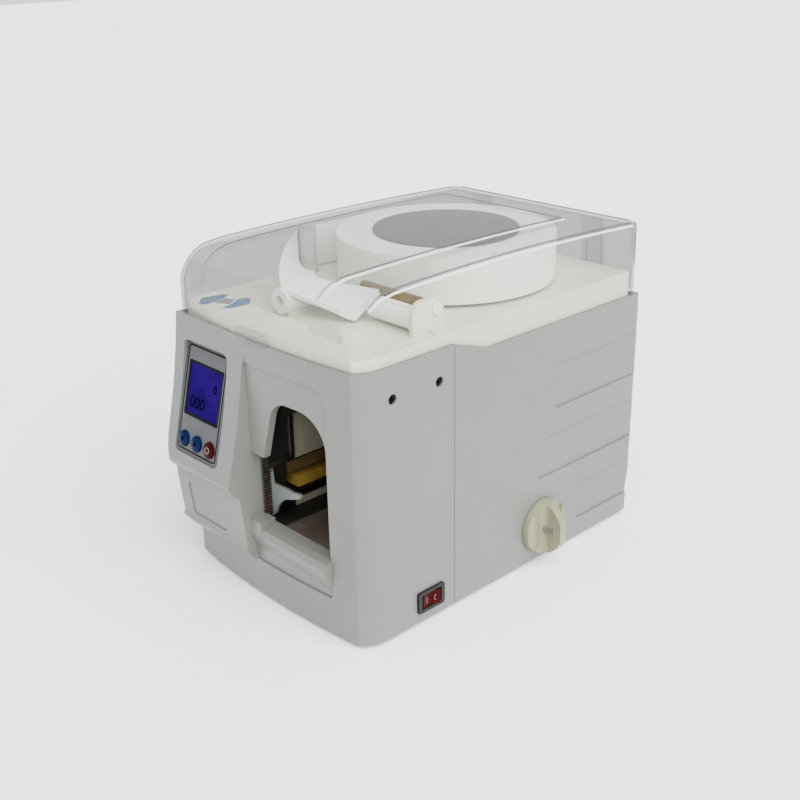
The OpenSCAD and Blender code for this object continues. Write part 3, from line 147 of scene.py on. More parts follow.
wide_lamp = add_lamp("wide_lamp", "SUN", power=9.0, towards_lamp=Vector((0.66, -0.10, 0.74)))
wide_lamp.angle = radians(70)

BOX_PLACE, SLOT_PLACE = Vector((0.80, -0.95, 0.55)), Vector((0.03, -0.08, 0.10))
slot_box = add_lamp("slot_box", "AREA", power=2.0, towards_lamp=BOX_PLACE - SLOT_PLACE, place=BOX_PLACE)
slot_box.shape = "SQUARE"
slot_box.size = 0.5
print("lamps", len(bpy.data.lights))

# %% [markdown]
# ## Tools for modelling
# Each small piece starts as a primitive at its size and place. These helpers
# add the primitive in millimetres, pick its faces by the way they look, and
# settle a finished piece on the body that carries it. Everything is deselected
# first, because an operator acts on all that is selected.

# %% Helpers for modelling
SMOOTH_BELOW = 35
FACING = 0.9


def deselect():
    bpy.ops.object.select_all(action="DESELECT")


def take_up(piece):
    deselect()
    piece.select_set(True)
    bpy.context.view_layer.objects.active = piece


def put_in_mesh(piece):
    take_up(piece)
    bpy.ops.object.transform_apply(location=True, rotation=True, scale=True)


def block(name, low, high):
    deselect()
    bpy.ops.mesh.primitive_cube_add(size=1, location=[(a + b) / 2 * MM for a, b in zip(low, high)])
    piece = bpy.context.object
    piece.name = name
    piece.scale = [(b - a) * MM for a, b in zip(low, high)]
    put_in_mesh(piece)
    return piece


def drum(name, middle, radius, length, axis, sides):
    deselect()
    turn = {"X": (0, radians(90), 0), "Z": (0, 0, 0)}[axis]
    bpy.ops.mesh.primitive_cylinder_add(vertices=sides, radius=radius * MM, depth=length * MM,
                                        location=[a * MM for a in middle], rotation=turn)
    piece = bpy.context.object
    piece.name = name
    put_in_mesh(piece)
    return piece


def pick(piece, test, kind="FACE"):
    take_up(piece)
    bpy.context.tool_settings.mesh_select_mode = (kind == "VERT", False, kind == "FACE")
    mesh = piece.data
    for parts in (mesh.vertices, mesh.edges, mesh.polygons):
        parts.foreach_set("select", [False] * len(parts))
    for part in mesh.vertices if kind == "VERT" else mesh.polygons:
        part.select = test(part.normal)
    bpy.ops.object.mode_set(mode="EDIT")


def leave():
    bpy.ops.object.mode_set(mode="OBJECT")


def apply_modifier(piece, modifier):
    take_up(piece)
    bpy.ops.object.modifier_apply(modifier=modifier.name)


def round_edges(piece, width, steps=2):
    bevel = piece.modifiers.new("rounding", "BEVEL")
    bevel.width = width * MM
    bevel.segments = steps
    bevel.limit_method = "ANGLE"
    bevel.angle_limit = radians(SMOOTH_BELOW)
    apply_modifier(piece, bevel)


def thicken(piece, depth, offset=1.0):
    wall = piece.modifiers.new("thickness", "SOLIDIFY")
    wall.thickness = depth * MM
    wall.offset = offset
    apply_modifier(piece, wall)


def settle(piece, body, finish):
    take_up(piece)
    bpy.ops.object.shade_smooth_by_angle(angle=radians(SMOOTH_BELOW))
    piece.data.materials.clear()
    piece.data.materials.append(finish)
    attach(piece, body)
    print(piece.name, len(piece.data.polygons), "faces on", body)


print("modelling tools ready, one step is", MM, "m")

# %% [markdown]
# ## Effects that the finishes share
# A moulded or painted surface is never one flat colour. Four effects are built
# once as node groups and used with other values in each finish: a soft drift
# of tone, the fine grain of a mould, rubbed patches that shine differently,
# and the long streaks of brushed metal.

# %% Helper for node groups


def new_group(name, inputs, outputs):
    tree = bpy.data.node_groups.new(name, "ShaderNodeTree")
    for label, kind, value in inputs:
        socket = tree.interface.new_socket(label, in_out="INPUT", socket_type=kind)
        if value is not None:
            socket.default_value = value
    for label, kind in outputs:
        tree.interface.new_socket(label, in_out="OUTPUT", socket_type=kind)
    return tree, tree.nodes.new("NodeGroupInput"), tree.nodes.new("NodeGroupOutput")


VECTOR, FLOAT, COLOUR = "NodeSocketVector", "NodeSocketFloat", "NodeSocketColor"
print("sockets", VECTOR, FLOAT, COLOUR)

# %% Tone drift
drift, start, end = new_group(
    "tone_drift",
    [("Vector", VECTOR, None), ("Scale", FLOAT, 12.0), ("Colour", COLOUR, (0.8, 0.8, 0.8, 1)),
     ("Shade", COLOUR, (0.7, 0.7, 0.7, 1))],
    [("Colour", COLOUR)])
cloud = drift.nodes.new("ShaderNodeTexNoise")
cloud.inputs["Detail"].default_value = 3.0
spread = drift.nodes.new("ShaderNodeMapRange")
spread.inputs["From Min"].default_value = 0.35
spread.inputs["From Max"].default_value = 0.72
blend = drift.nodes.new("ShaderNodeMix")
blend.data_type = "RGBA"
drift.links.new(start.outputs["Vector"], cloud.inputs["Vector"])
drift.links.new(start.outputs["Scale"], cloud.inputs["Scale"])
drift.links.new(cloud.outputs["Fac"], spread.inputs["Value"])
drift.links.new(spread.outputs["Result"], blend.inputs["Factor"])
drift.links.new(start.outputs["Colour"], blend.inputs[6])
drift.links.new(start.outputs["Shade"], blend.inputs[7])
drift.links.new(blend.outputs[2], end.inputs["Colour"])
print("group", drift.name)

# %% Mould grain
grain, start, end = new_group(
    "mould_grain",
    [("Vector", VECTOR, None), ("Scale", FLOAT, 1600.0)],
    [("Height", FLOAT)])
pebble = grain.nodes.new("ShaderNodeTexVoronoi")
pebble.feature = "SMOOTH_F1"
fine = grain.nodes.new("ShaderNodeTexNoise")
fine.inputs["Detail"].default_value = 2.0
add = grain.nodes.new("ShaderNodeMath")
add.operation = "ADD"
grain.links.new(start.outputs["Vector"], pebble.inputs["Vector"])
grain.links.new(start.outputs["Scale"], pebble.inputs["Scale"])
grain.links.new(start.outputs["Vector"], fine.inputs["Vector"])
grain.links.new(start.outputs["Scale"], fine.inputs["Scale"])
grain.links.new(pebble.outputs["Distance"], add.inputs[0])
grain.links.new(fine.outputs["Fac"], add.inputs[1])
grain.links.new(add.outputs["Value"], end.inputs["Height"])
print("group", grain.name)

# %% Rubbed patches
rub, start, end = new_group(
    "rubbed_patches",
    [("Vector", VECTOR, None), ("Scale", FLOAT, 30.0), ("Low", FLOAT, 0.4), ("High", FLOAT, 0.5)],
    [("Value", FLOAT)])
patch = rub.nodes.new("ShaderNodeTexNoise")
patch.inputs["Detail"].default_value = 6.0
patch.inputs["Roughness"].default_value = 0.65
limits = rub.nodes.new("ShaderNodeMapRange")
limits.inputs["From Min"].default_value = 0.4
limits.inputs["From Max"].default_value = 0.65
rub.links.new(start.outputs["Vector"], patch.inputs["Vector"])
rub.links.new(start.outputs["Scale"], patch.inputs["Scale"])
rub.links.new(patch.outputs["Fac"], limits.inputs["Value"])
rub.links.new(start.outputs["Low"], limits.inputs["To Min"])
rub.links.new(start.outputs["High"], limits.inputs["To Max"])
rub.links.new(limits.outputs["Result"], end.inputs["Value"])
print("group", rub.name)

# %% Brushed streaks
streaks, start, end = new_group(
    "brushed_streaks",
    [("Vector", VECTOR, None), ("Along", VECTOR, (1.0, 1.0, 1.0)), ("Scale", FLOAT, 900.0)],
    [("Value", FLOAT)])
stretch = streaks.nodes.new("ShaderNodeVectorMath")
stretch.operation = "MULTIPLY"
line_noise = streaks.nodes.new("ShaderNodeTexNoise")
line_noise.inputs["Detail"].default_value = 4.0
streaks.links.new(start.outputs["Vector"], stretch.inputs[0])
streaks.links.new(start.outputs["Along"], stretch.inputs[1])
streaks.links.new(stretch.outputs["Vector"], line_noise.inputs["Vector"])
streaks.links.new(start.outputs["Scale"], line_noise.inputs["Scale"])
streaks.links.new(line_noise.outputs["Fac"], end.inputs["Value"])
print("group", streaks.name)

# %% [markdown]
# ## Finishes
# Most finishes take the same three steps: a Principled shader with its plain
# values set on its own sockets, a tone that drifts between two near colours,
# and a bump for the surface. The plastic of the housing has the fine pebble
# grain of a spark-eroded mould; the tray is smoother and creamier.

# %% Helpers for finishes


def base_finish(name, colour, roughness, metallic=0.0):
    finish = bpy.data.materials.new(name)
    finish.use_nodes = True
    tree = finish.node_tree
    shader = tree.nodes["Principled BSDF"]
    shader.inputs["Base Color"].default_value = (*colour, 1)
    shader.inputs["Roughness"].default_value = roughness
    shader.inputs["Metallic"].default_value = metallic
    place = tree.nodes.new("ShaderNodeTexCoord")
    return finish, tree, shader, place.outputs["Object"]


def use_group(tree, group, vector, **values):
    node = tree.nodes.new("ShaderNodeGroup")
    node.node_tree = group
    tree.links.new(vector, node.inputs["Vector"])
    for label, value in values.items():
        node.inputs[label].default_value = value
    return node


def add_bump(tree, shader, height, depth):
    bump = tree.nodes.new("ShaderNodeBump")
    bump.inputs["Strength"].default_value = 1.0
    bump.inputs["Distance"].default_value = depth * MM
    tree.links.new(height, bump.inputs["Height"])
    tree.links.new(bump.outputs["Normal"], shader.inputs["Normal"])


def moulded(name, colour, shade, rough, grain_scale=1500.0, depth=0.03, drift_scale=9.0, shine=0.5):
    finish, tree, shader, vector = base_finish(name, colour, rough[0])
    shader.inputs["Specular IOR Level"].default_value = shine
    tone = use_group(tree, drift, vector, Scale=drift_scale, Colour=(*colour, 1), Shade=(*shade, 1))
    worn = use_group(tree, rub, vector, Scale=40.0, Low=rough[0], High=rough[1])
    pebbles = use_group(tree, grain, vector, Scale=grain_scale)
    tree.links.new(tone.outputs["Colour"], shader.inputs["Base Color"])
    tree.links.new(worn.outputs["Value"], shader.inputs["Roughness"])
    add_bump(tree, shader, pebbles.outputs["Height"], depth)
    return finish


def metal(name, colour, shade, rough=(0.22, 0.4), along=(0.04, 1.0, 1.0), depth=0.01, metallic=1.0):
    finish, tree, shader, vector = base_finish(name, colour, rough[0], metallic)
    tone = use_group(tree, drift, vector, Scale=60.0, Colour=(*colour, 1), Shade=(*shade, 1))
    lines = use_group(tree, streaks, vector, Along=along, Scale=900.0)
    worn = use_group(tree, rub, vector, Scale=70.0, Low=rough[0], High=rough[1])
    tree.links.new(tone.outputs["Colour"], shader.inputs["Base Color"])
    tree.links.new(worn.outputs["Value"], shader.inputs["Roughness"])
    add_bump(tree, shader, lines.outputs["Value"], depth)
    return finish


print("finish helpers ready, groups", len(bpy.data.node_groups))

# %% Plastics and rubber
housing = moulded("housing_plastic", (0.122, 0.128, 0.114), (0.112, 0.118, 0.105), (0.34, 0.46),
                  grain_scale=1700.0, depth=0.02, drift_scale=7.0)
tray_plastic = moulded("tray_plastic", (0.62, 0.66, 0.515), (0.58, 0.62, 0.48), (0.32, 0.42),
                       grain_scale=1900.0, depth=0.015)
white_plastic = moulded("white_plastic", (0.78, 0.81, 0.74), (0.73, 0.76, 0.69), (0.22, 0.32),
                        grain_scale=2400.0, depth=0.006)
nose_plastic = moulded("nose_plastic", (0.115, 0.13, 0.122), (0.10, 0.115, 0.108), (0.35, 0.45),
                       grain_scale=2000.0, depth=0.01)
disc_plastic = moulded("disc_plastic", (0.062, 0.065, 0.063), (0.050, 0.053, 0.051), (0.36, 0.5),
                       grain_scale=1300.0, depth=0.02, drift_scale=260.0, shine=0.3)
grey_plastic = moulded("grey_plastic", (0.06, 0.062, 0.066), (0.05, 0.052, 0.056), (0.40, 0.55),
                       grain_scale=1300.0, depth=0.02)
sleeve_plastic = moulded("sleeve_plastic", (0.42, 0.43, 0.40), (0.36, 0.37, 0.345), (0.25, 0.35),
                         grain_scale=2200.0, depth=0.008)
black_plastic = moulded("black_plastic", (0.006, 0.006, 0.007), (0.009, 0.009, 0.010), (0.30, 0.45),
                        grain_scale=1800.0, depth=0.015, shine=0.15)
knob_plastic = moulded("knob_plastic", (0.175, 0.178, 0.105), (0.160, 0.163, 0.095), (0.24, 0.34),
                       grain_scale=2300.0, depth=0.008)
gear_plastic = moulded("gear_plastic", (0.30, 0.29, 0.22), (0.27, 0.26, 0.20), (0.30, 0.42),
                       grain_scale=2000.0, depth=0.01)
button_blue = moulded("button_blue", (0.0014, 0.0075, 0.034), (0.0011, 0.006, 0.027), (0.25, 0.33),
                      grain_scale=2600.0, depth=0.004, drift_scale=60.0, shine=0.03)
button_red = moulded("button_red", (0.022, 0.0018, 0.0014), (0.016, 0.0014, 0.0012), (0.25, 0.33),
                     grain_scale=2600.0, depth=0.004, drift_scale=60.0, shine=0.03)
rocker_red = moulded("rocker_red", (0.034, 0.0022, 0.0022), (0.028, 0.002, 0.002), (0.25, 0.33),
                     grain_scale=2600.0, depth=0.004, drift_scale=60.0, shine=0.03)
foot_rubber = moulded("foot_rubber", (0.008, 0.008, 0.008), (0.012, 0.0115, 0.011), (0.65, 0.8),
                      grain_scale=900.0, depth=0.04)
feed_rubber = moulded("feed_rubber", (0.012, 0.012, 0.012), (0.018, 0.0175, 0.017), (0.7, 0.85),
                      grain_scale=1100.0, depth=0.05)
brown_pad = moulded("brown_pad", (0.075, 0.046, 0.020), (0.045, 0.028, 0.013), (0.40, 0.55),
                    grain_scale=900.0, depth=0.03, drift_scale=60.0, shine=0.3)
label_film = moulded("label_film", (0.068, 0.071, 0.076), (0.056, 0.059, 0.063), (0.30, 0.38),
                     grain_scale=2600.0, depth=0.004, drift_scale=20.0, shine=0.07)
board_green = moulded("board_green", (0.006, 0.04, 0.018), (0.009, 0.056, 0.024), (0.28, 0.4),
                      grain_scale=600.0, depth=0.02)
print("materials", len(bpy.data.materials))

# %% [markdown]
# ## Two-tone plates
# Inside the slot the plates are painted in two tones: the sheet beside the
# notes is a worn grey brown behind a black strip, and the floor is a darker
# brown with a black strip along the jaws. One function serves both, because
# the border between the tones is only a place along one axis.

# %% Two-tone paint
BORDER_BLUR = 0.4


def two_tone(name, axis, border, below, above, shade, rough=(0.35, 0.5)):
    finish = moulded(name, above, shade, rough, grain_scale=1200.0, depth=0.015, drift_scale=30.0)
    tree = finish.node_tree
    shader = tree.nodes["Principled BSDF"]
    place = next(node for node in tree.nodes if node.type == "TEX_COORD")
    split = tree.nodes.new("ShaderNodeSeparateXYZ")
    edge = tree.nodes.new("ShaderNodeMapRange")
    edge.inputs["From Min"].default_value = (border - BORDER_BLUR) * MM
    edge.inputs["From Max"].default_value = (border + BORDER_BLUR) * MM
    tones = tree.nodes.new("ShaderNodeMix")
    tones.data_type = "RGBA"
    tones.inputs[6].default_value = (*below, 1)
    painted = shader.inputs["Base Color"].links[0].from_socket
    tree.links.new(place.outputs["Object"], split.inputs["Vector"])
    tree.links.new(split.outputs[axis], edge.inputs["Value"])
    tree.links.new(edge.outputs["Result"], tones.inputs["Factor"])
    tree.links.new(painted, tones.inputs[7])
    tree.links.new(tones.outputs[2], shader.inputs["Base Color"])
    return finish


JET = (0.004, 0.0036, 0.003)
head_paint = two_tone("head_paint", "Y", OY - 95, JET, (0.20, 0.185, 0.14), (0.12, 0.11, 0.085))
floor_paint = two_tone("floor_paint", "X", OX + 4, JET, (0.058, 0.048, 0.038), (0.036, 0.029, 0.023),
                       (0.42, 0.58))
mottled_brown = moulded("mottled_brown", (0.003, 0.0024, 0.0016), (0.035, 0.024, 0.010), (0.35, 0.6),
                        grain_scale=900.0, depth=0.05, drift_scale=420.0)
print("paints", head_paint.name, floor_paint.name, mottled_brown.name)

# %% Metals
steel = metal("bright_steel", (0.42, 0.43, 0.44), (0.36, 0.37, 0.38))
zinc_sheet = metal("zinc_sheet", (0.24, 0.24, 0.243), (0.20, 0.20, 0.206), (0.35, 0.5),
                   along=(1.0, 0.05, 1.0))
dark_sheet = metal("dark_sheet", (0.008, 0.0075, 0.007), (0.014, 0.012, 0.010), (0.30, 0.5),
                   along=(1.0, 0.04, 1.0), metallic=0.2)
brass = metal("turned_brass", (0.21, 0.15, 0.030), (0.12, 0.08, 0.014), (0.28, 0.45),
              metallic=0.7)
bar_brass = metal("bar_brass", (0.36, 0.25, 0.045), (0.16, 0.105, 0.018), (0.30, 0.45),
                  along=(1.0, 0.04, 1.0), metallic=0.45)
screw_steel = metal("blackened_steel", (0.012, 0.011, 0.010), (0.02, 0.018, 0.017), (0.35, 0.5),
                    along=(1.0, 1.0, 0.1))
motor_paint = metal("motor_paint", (0.03, 0.032, 0.037), (0.04, 0.042, 0.047), (0.4, 0.55),
                    along=(1.0, 1.0, 1.0), depth=0.02, metallic=0.3)
print("materials", len(bpy.data.materials))

# %% [markdown]
# ## The clear cover
# The cover is a moulded shell of clear plastic, and each wall is two surfaces
# with air behind it. Refracting glass would darken the tray under it, because
# light can't find its way through. A surface that is mostly see-through, with
# a faint grey tint that thickens towards its edges, lets the light in. The
# veil is made denser, and so greyer, over the rear and left walls, which are
# what stands behind the roll in the photograph.

# %% Clear plastic
REAR_HAZE = ("Y", OY + 125.0, OY + 130.0)
LEFT_HAZE = ("X", OX - HALF_W + 6.0, OX - HALF_W + 4.6)


def clear_plastic(name, colour, thin, thick, smoky=0.0):
    finish, tree, shader, vector = base_finish(name, colour, 0.06)
    shader.inputs["IOR"].default_value = 1.49
    facing = tree.nodes.new("ShaderNodeLayerWeight")
    facing.inputs["Blend"].default_value = 0.16
    veil = tree.nodes.new("ShaderNodeMapRange")
    veil.inputs["To Min"].default_value = thin
    veil.inputs["To Max"].default_value = thick
    tree.links.new(facing.outputs["Facing"], veil.inputs["Value"])
    amount = veil.outputs["Result"]
    if smoky:
        split = tree.nodes.new("ShaderNodeSeparateXYZ")
        tree.links.new(vector, split.inputs["Vector"])
        for axis, inner, outer in (REAR_HAZE, LEFT_HAZE):
            reach = tree.nodes.new("ShaderNodeMapRange")
            reach.inputs["From Min"].default_value = inner * MM
            reach.inputs["From Max"].default_value = outer * MM
            reach.inputs["To Max"].default_value = smoky
            more = tree.nodes.new("ShaderNodeMath")
            more.operation = "MAXIMUM"
            tree.links.new(split.outputs[axis], reach.inputs["Value"])
            tree.links.new(reach.outputs["Result"], more.inputs[0])
            tree.links.new(amount, more.inputs[1])
            amount = more.outputs["Value"]
    tree.links.new(amount, shader.inputs["Alpha"])
    haze = use_group(tree, rub, vector, Scale=18.0, Low=0.04, High=0.13)
    tree.links.new(haze.outputs["Value"], shader.inputs["Roughness"])
    return finish


clear = clear_plastic("clear_plastic", (0.10, 0.104, 0.106), thin=0.045, thick=0.55, smoky=0.50)
clear_edge = clear_plastic("clear_edge", (0.075, 0.075, 0.088), thin=0.55, thick=0.9)
# Painted highlight: near-white clear plastic for strips that stand in for the reflections on the cover's
# bevels.
clear_painted_highlight = clear_plastic("clear_painted_highlight", (0.86, 0.88, 0.82), thin=0.60, thick=0.9)
clear_strap = clear_plastic("clear_strap", (0.13, 0.132, 0.128), thin=0.12, thick=0.70)
print("materials", len(bpy.data.materials))

# %% [markdown]
# ## Paper
# The roll is hundreds of turns of tape. From above one sees the edges of the
# turns as fine rings round the core, and from the side the smooth outer turn.
# The rings are noise along the distance from the roll's own axis, so they lie
# on the roll however it is turned.

# %% Paper tape and the paper roll
roll_low, roll_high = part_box("paper_roll")
ROLL_CENTRE = middle_of(roll_low, roll_high)
PAPER_TONE, PAPER_SHADE = (0.72, 0.74, 0.69), (0.66, 0.68, 0.63)


def wound_paper():
    finish, tree, shader, vector = base_finish("wound_paper", (0.54, 0.55, 0.49), 0.8)
    shift = tree.nodes.new("ShaderNodeVectorMath")
    shift.operation = "SUBTRACT"
    shift.inputs[1].default_value = ROLL_CENTRE * MM
    flat = tree.nodes.new("ShaderNodeVectorMath")
    flat.operation = "MULTIPLY"
    flat.inputs[1].default_value = (1.0, 1.0, 0.0)
    reach = tree.nodes.new("ShaderNodeVectorMath")
    reach.operation = "LENGTH"
    rings = tree.nodes.new("ShaderNodeTexNoise")
    rings.noise_dimensions = "1D"
    rings.inputs["Scale"].default_value = 2600.0
    rings.inputs["Detail"].default_value = 5.0
    shades = tree.nodes.new("ShaderNodeMix")
    shades.data_type = "RGBA"
    shades.inputs[6].default_value = (0.80, 0.83, 0.74, 1)
    shades.inputs[7].default_value = (0.66, 0.68, 0.58, 1)
    tree.links.new(vector, shift.inputs[0])
    tree.links.new(shift.outputs["Vector"], flat.inputs[0])
    tree.links.new(flat.outputs["Vector"], reach.inputs[0])
    tree.links.new(reach.outputs["Value"], rings.inputs["W"])
    tree.links.new(rings.outputs["Fac"], shades.inputs["Factor"])
    tree.links.new(shades.outputs[2], shader.inputs["Base Color"])
    add_bump(tree, shader, rings.outputs["Fac"], 0.12)
    return finish


def tape_paper():
    finish, tree, shader, vector = base_finish("tape_paper", PAPER_TONE, 0.7)
    tone = use_group(tree, drift, vector, Scale=45.0, Colour=(*PAPER_TONE, 1), Shade=(*PAPER_SHADE, 1))
    fibres = use_group(tree, streaks, vector, Along=(1.0, 1.0, 0.3), Scale=1400.0)
    tree.links.new(tone.outputs["Colour"], shader.inputs["Base Color"])
    add_bump(tree, shader, fibres.outputs["Value"], 0.02)
    return finish


wound = wound_paper()
paper = tape_paper()
print("roll axis at", round(ROLL_CENTRE.x, 1), round(ROLL_CENTRE.y, 1))

# %% [markdown]
# ## The display and the printed inks
# The display is a lit blue window. Its light comes from behind, so it glows a
# little by itself, not quite evenly. The inks are thin printed marks with a
# satin surface.

# %% Display and inks
LIT_BLUE, DIM_BLUE = (0.0085, 0.0005, 0.056), (0.0050, 0.0004, 0.032)


def lit_screen():
    finish, tree, shader, vector = base_finish("screen_blue", (0.002, 0.0002, 0.02), 0.5)
    shader.inputs["Specular IOR Level"].default_value = 0.0
    glow = use_group(tree, drift, vector, Scale=42.0, Colour=(*LIT_BLUE, 1), Shade=(*DIM_BLUE, 1))
    tree.links.new(glow.outputs["Colour"], shader.inputs["Base Color"])
    tree.links.new(glow.outputs["Colour"], shader.inputs["Emission Color"])
    shader.inputs["Emission Strength"].default_value = 1.6
    return finish


screen = lit_screen()
ink_black = moulded("ink_black", (0.004, 0.0045, 0.0045), (0.006, 0.0065, 0.0065), (0.3, 0.4),
                    grain_scale=2500.0, depth=0.003, shine=0.02)
ink_pale = moulded("ink_pale", (0.10, 0.062, 0.058), (0.08, 0.05, 0.046), (0.3, 0.4),
                   grain_scale=2500.0, depth=0.003)
ink_blue = moulded("ink_blue", (0.035, 0.085, 0.19), (0.075, 0.14, 0.26), (0.35, 0.45),
                   grain_scale=1500.0, depth=0.004, drift_scale=120.0)
ink_navy = moulded("ink_navy", (0.0012, 0.0012, 0.010), (0.0015, 0.0015, 0.012), (0.4, 0.5),
                   grain_scale=2500.0, depth=0.003, shine=0.0)
ink_grey = moulded("ink_grey", (0.045, 0.046, 0.050), (0.038, 0.039, 0.043), (0.35, 0.45),
                   grain_scale=1500.0, depth=0.004, shine=0.1)
ink_rose = moulded("ink_rose", (0.17, 0.165, 0.175), (0.145, 0.14, 0.15), (0.35, 0.45),
                   grain_scale=1500.0, depth=0.004)
print("materials", len(bpy.data.materials))

# %% [markdown]
# ## Dress the CAD nodes
# A node keeps its shape and only gets a finish. The list is written by finish,
# as a maker's parts list would be, so that it is easy to see what is made of
# the same stuff.

# %% Give every node its finish
made_of = {
    housing: ["front_cover", "rear_cover"],
    tray_plastic: ["top_tray", "hinge_brackets", "turn_bracket"],
    clear: ["clear_cover", "finger_tab"],
    white_plastic: ["twist_guide", "turn_roller"],
    nose_plastic: ["nose_plate"],
    disc_plastic: ["hub_disc"],
    grey_plastic: ["turntable"],
    sleeve_plastic: ["guide_post", "guide_sleeve"],
    black_plastic: ["rocker_frame", "power_inlet", "bundle_sensor"],
    knob_plastic: ["knob"],
    gear_plastic: ["drive_gear"],
    label_film: ["panel_label"],
    screen: ["lcd_display"],
    button_blue: ["button_down", "button_up"],
    button_red: ["button_reset"],
    rocker_red: ["rocker_switch"],
    board_green: ["control_board", "power_board"],
    foot_rubber: ["rubber_feet"],
    feed_rubber: ["feed_roller"],
    brown_pad: ["press_block"],
    steel: ["hinge_pins", "spindle", "pinch_roller", "guide_rods", "lever_pin", "main_shaft", "cams",
            "knife_blade"],
    zinc_sheet: ["base_plate", "feed_frame", "left_frame", "right_frame", "press_lever"],
    dark_sheet: ["slot_liner", "head_frame"],
    head_paint: ["head_plates"],
    floor_paint: ["note_table"],
    brass: ["brass_stay", "shaft_bushes", "motor_pinion"],
    bar_brass: ["heater_bar"],
    screw_steel: ["side_screws"],
    motor_paint: ["transformer", "gear_motor", "feed_motor"],
    wound: ["paper_roll"],
    paper: ["tape_strip"],
}
for finish, names in made_of.items():
    for name in names:
        nodes[name].data.materials.clear()
        nodes[name].data.materials.append(finish)
dressed = sum(len(names) for names in made_of.values())
print("dressed", dressed, "of", len(nodes))

floor_finish = moulded("pale_floor", (0.90, 0.90, 0.90), (0.885, 0.885, 0.885), (0.6, 0.7),
                       grain_scale=80.0, depth=0.01, drift_scale=1.0)
floor.data.materials.append(floor_finish)
print("floor", floor_finish.name)

# %% [markdown]
# ## Marks on the control label
# The label lies on a slope, so its marks are drawn flat, with X to the right
# and Y up the label, and then laid on it with one matrix. The slope is 14
# degrees from upright, and its middle follows from the label's own box.

# %% The label's own frame
LABEL_TILT = radians(14.0)
low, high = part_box("panel_label")
LABEL_W = (high[0] - low[0]) / MM
LABEL_H = 75.0
LABEL_T = 0.6
outward = Vector((0, -cos(LABEL_TILT), sin(LABEL_TILT)))
LABEL = (Matrix.Translation((middle_of(low, high) + outward * LABEL_T / 2) * MM)
         @ Matrix.Rotation(radians(90) - LABEL_TILT, 4, "X"))
LCD_V, LCD_W, LCD_H = 6.8, 38.0, 37.0
BUTTON_V, BUTTON_PITCH = -27.5, 14.0


def lay_on_label(piece):
    piece.matrix_world = LABEL @ piece.matrix_world
    put_in_mesh(piece)


def framed_plate(name, width, height, corner, border, thick):
    deselect()
    bpy.ops.mesh.primitive_plane_add(size=1, location=(0, 0, 0))
    piece = bpy.context.object
    piece.name = name
    piece.scale = (width * MM, height * MM, 1)
    put_in_mesh(piece)
    pick(piece, lambda way: True, "VERT")
    bpy.ops.mesh.bevel(offset=corner * MM, segments=6, affect="VERTICES")
    leave()
    pick(piece, lambda way: True, "FACE")
    bpy.ops.mesh.inset(thickness=border * MM)
    bpy.ops.mesh.delete(type="FACE")
    leave()
    thicken(piece, thick)
    return piece


label_line = framed_plate("label_line", LABEL_W - 4.6, LABEL_H - 4.6, corner=2.6, border=1.1, thick=0.1)
lay_on_label(label_line)
settle(label_line, "machine", ink_black)
label_edge = framed_plate("label_edge", LABEL_W - 0.3, LABEL_H - 0.3, corner=3.8, border=1.3, thick=0.08)
lay_on_label(label_edge)
settle(label_edge, "machine", ink_grey)

# %% [markdown]
# ## The display's frame and its digits
# A dark frame holds the window. In the photograph a few dark figures show on
# the lit blue, too small to read, so plain noughts stand in for the counter.

# %% Frame and digits of the display
STROKE_DEPTH, STROKE_GROWTH = 0.03, 0.16
FRAME_LIFT, DIGIT_LIFT = 0.02, 0.04
screen_frame = framed_plate("screen_frame", LCD_W - 0.2, LCD_H - 0.2, corner=1.2, border=1.9, thick=0.45)
for vertex in screen_frame.data.vertices:
    vertex.co.y += LCD_V * MM
    vertex.co.z -= (LABEL_T - FRAME_LIFT) * MM
round_edges(screen_frame, 0.12)
lay_on_label(screen_frame)
settle(screen_frame, "machine", ink_black)


def digits(name, words, across, up, size):
    deselect()
    bpy.ops.object.text_add(location=Vector((across, up, DIGIT_LIFT - LABEL_T)) * MM)
    piece = bpy.context.object
    piece.data.body = words
    piece.data.size = size * MM
    piece.data.extrude = STROKE_DEPTH * MM
    piece.data.offset = STROKE_GROWTH * MM
    piece.data.align_x = "CENTER"
    bpy.ops.object.convert(target="MESH")
    piece = bpy.context.object
    piece.name = name
    put_in_mesh(piece)
    return piece


counter = digits("counter_digits", "000", -6.0, LCD_V - 12.0, 11.0)
lay_on_label(counter)
settle(counter, "machine", ink_navy)
speed = digits("speed_digits", "0", 11.0, LCD_V + 2.0, 8.0)
lay_on_label(speed)
settle(speed, "machine", ink_navy)

# %% [markdown]
# ## Marks on the buttons
# A triangle points down on the first button and up on the second, and the red
# one has a small ring. Each mark is a thin moulded inlay that stands a hair
# above the crown of its button and rides on it, so it dips with the button.

# %% Button inlays
CROWN, INLAY_R, INLAY_T = 2.2, 2.3, 0.3


def triangle(name, across, point_up):
    piece = drum(name, (across, BUTTON_V, CROWN), INLAY_R, INLAY_T, "Z", 3)
    if not point_up:
        for vertex in piece.data.vertices:
            vertex.co.y = 2 * BUTTON_V * MM - vertex.co.y
        piece.data.flip_normals()
    round_edges(piece, 0.1)
    lay_on_label(piece)
    return piece


def ring_inlay(name, across):
    piece = drum(name, (across, BUTTON_V, CROWN), INLAY_R, INLAY_T, "Z", 32)
    pick(piece, lambda way: abs(way.z) > FACING)
    bpy.ops.mesh.inset(thickness=0.7 * MM)
    bpy.ops.mesh.bridge_edge_loops()
    leave()
    lay_on_label(piece)
    return piece


down_mark = triangle("down_mark", -BUTTON_PITCH, False)
settle(down_mark, "key_down", ink_navy)
up_mark = triangle("up_mark", 0.0, True)
settle(up_mark, "key_up", ink_navy)
reset_mark = ring_inlay("reset_mark", BUTTON_PITCH)
settle(reset_mark, "key_reset", ink_pale)

# %% [markdown]
# ## Marks on the switch
# The rocker carries the usual line and circle. It rests tipped by nine
# degrees, so each mark is made upright and turned with it about the pivot.

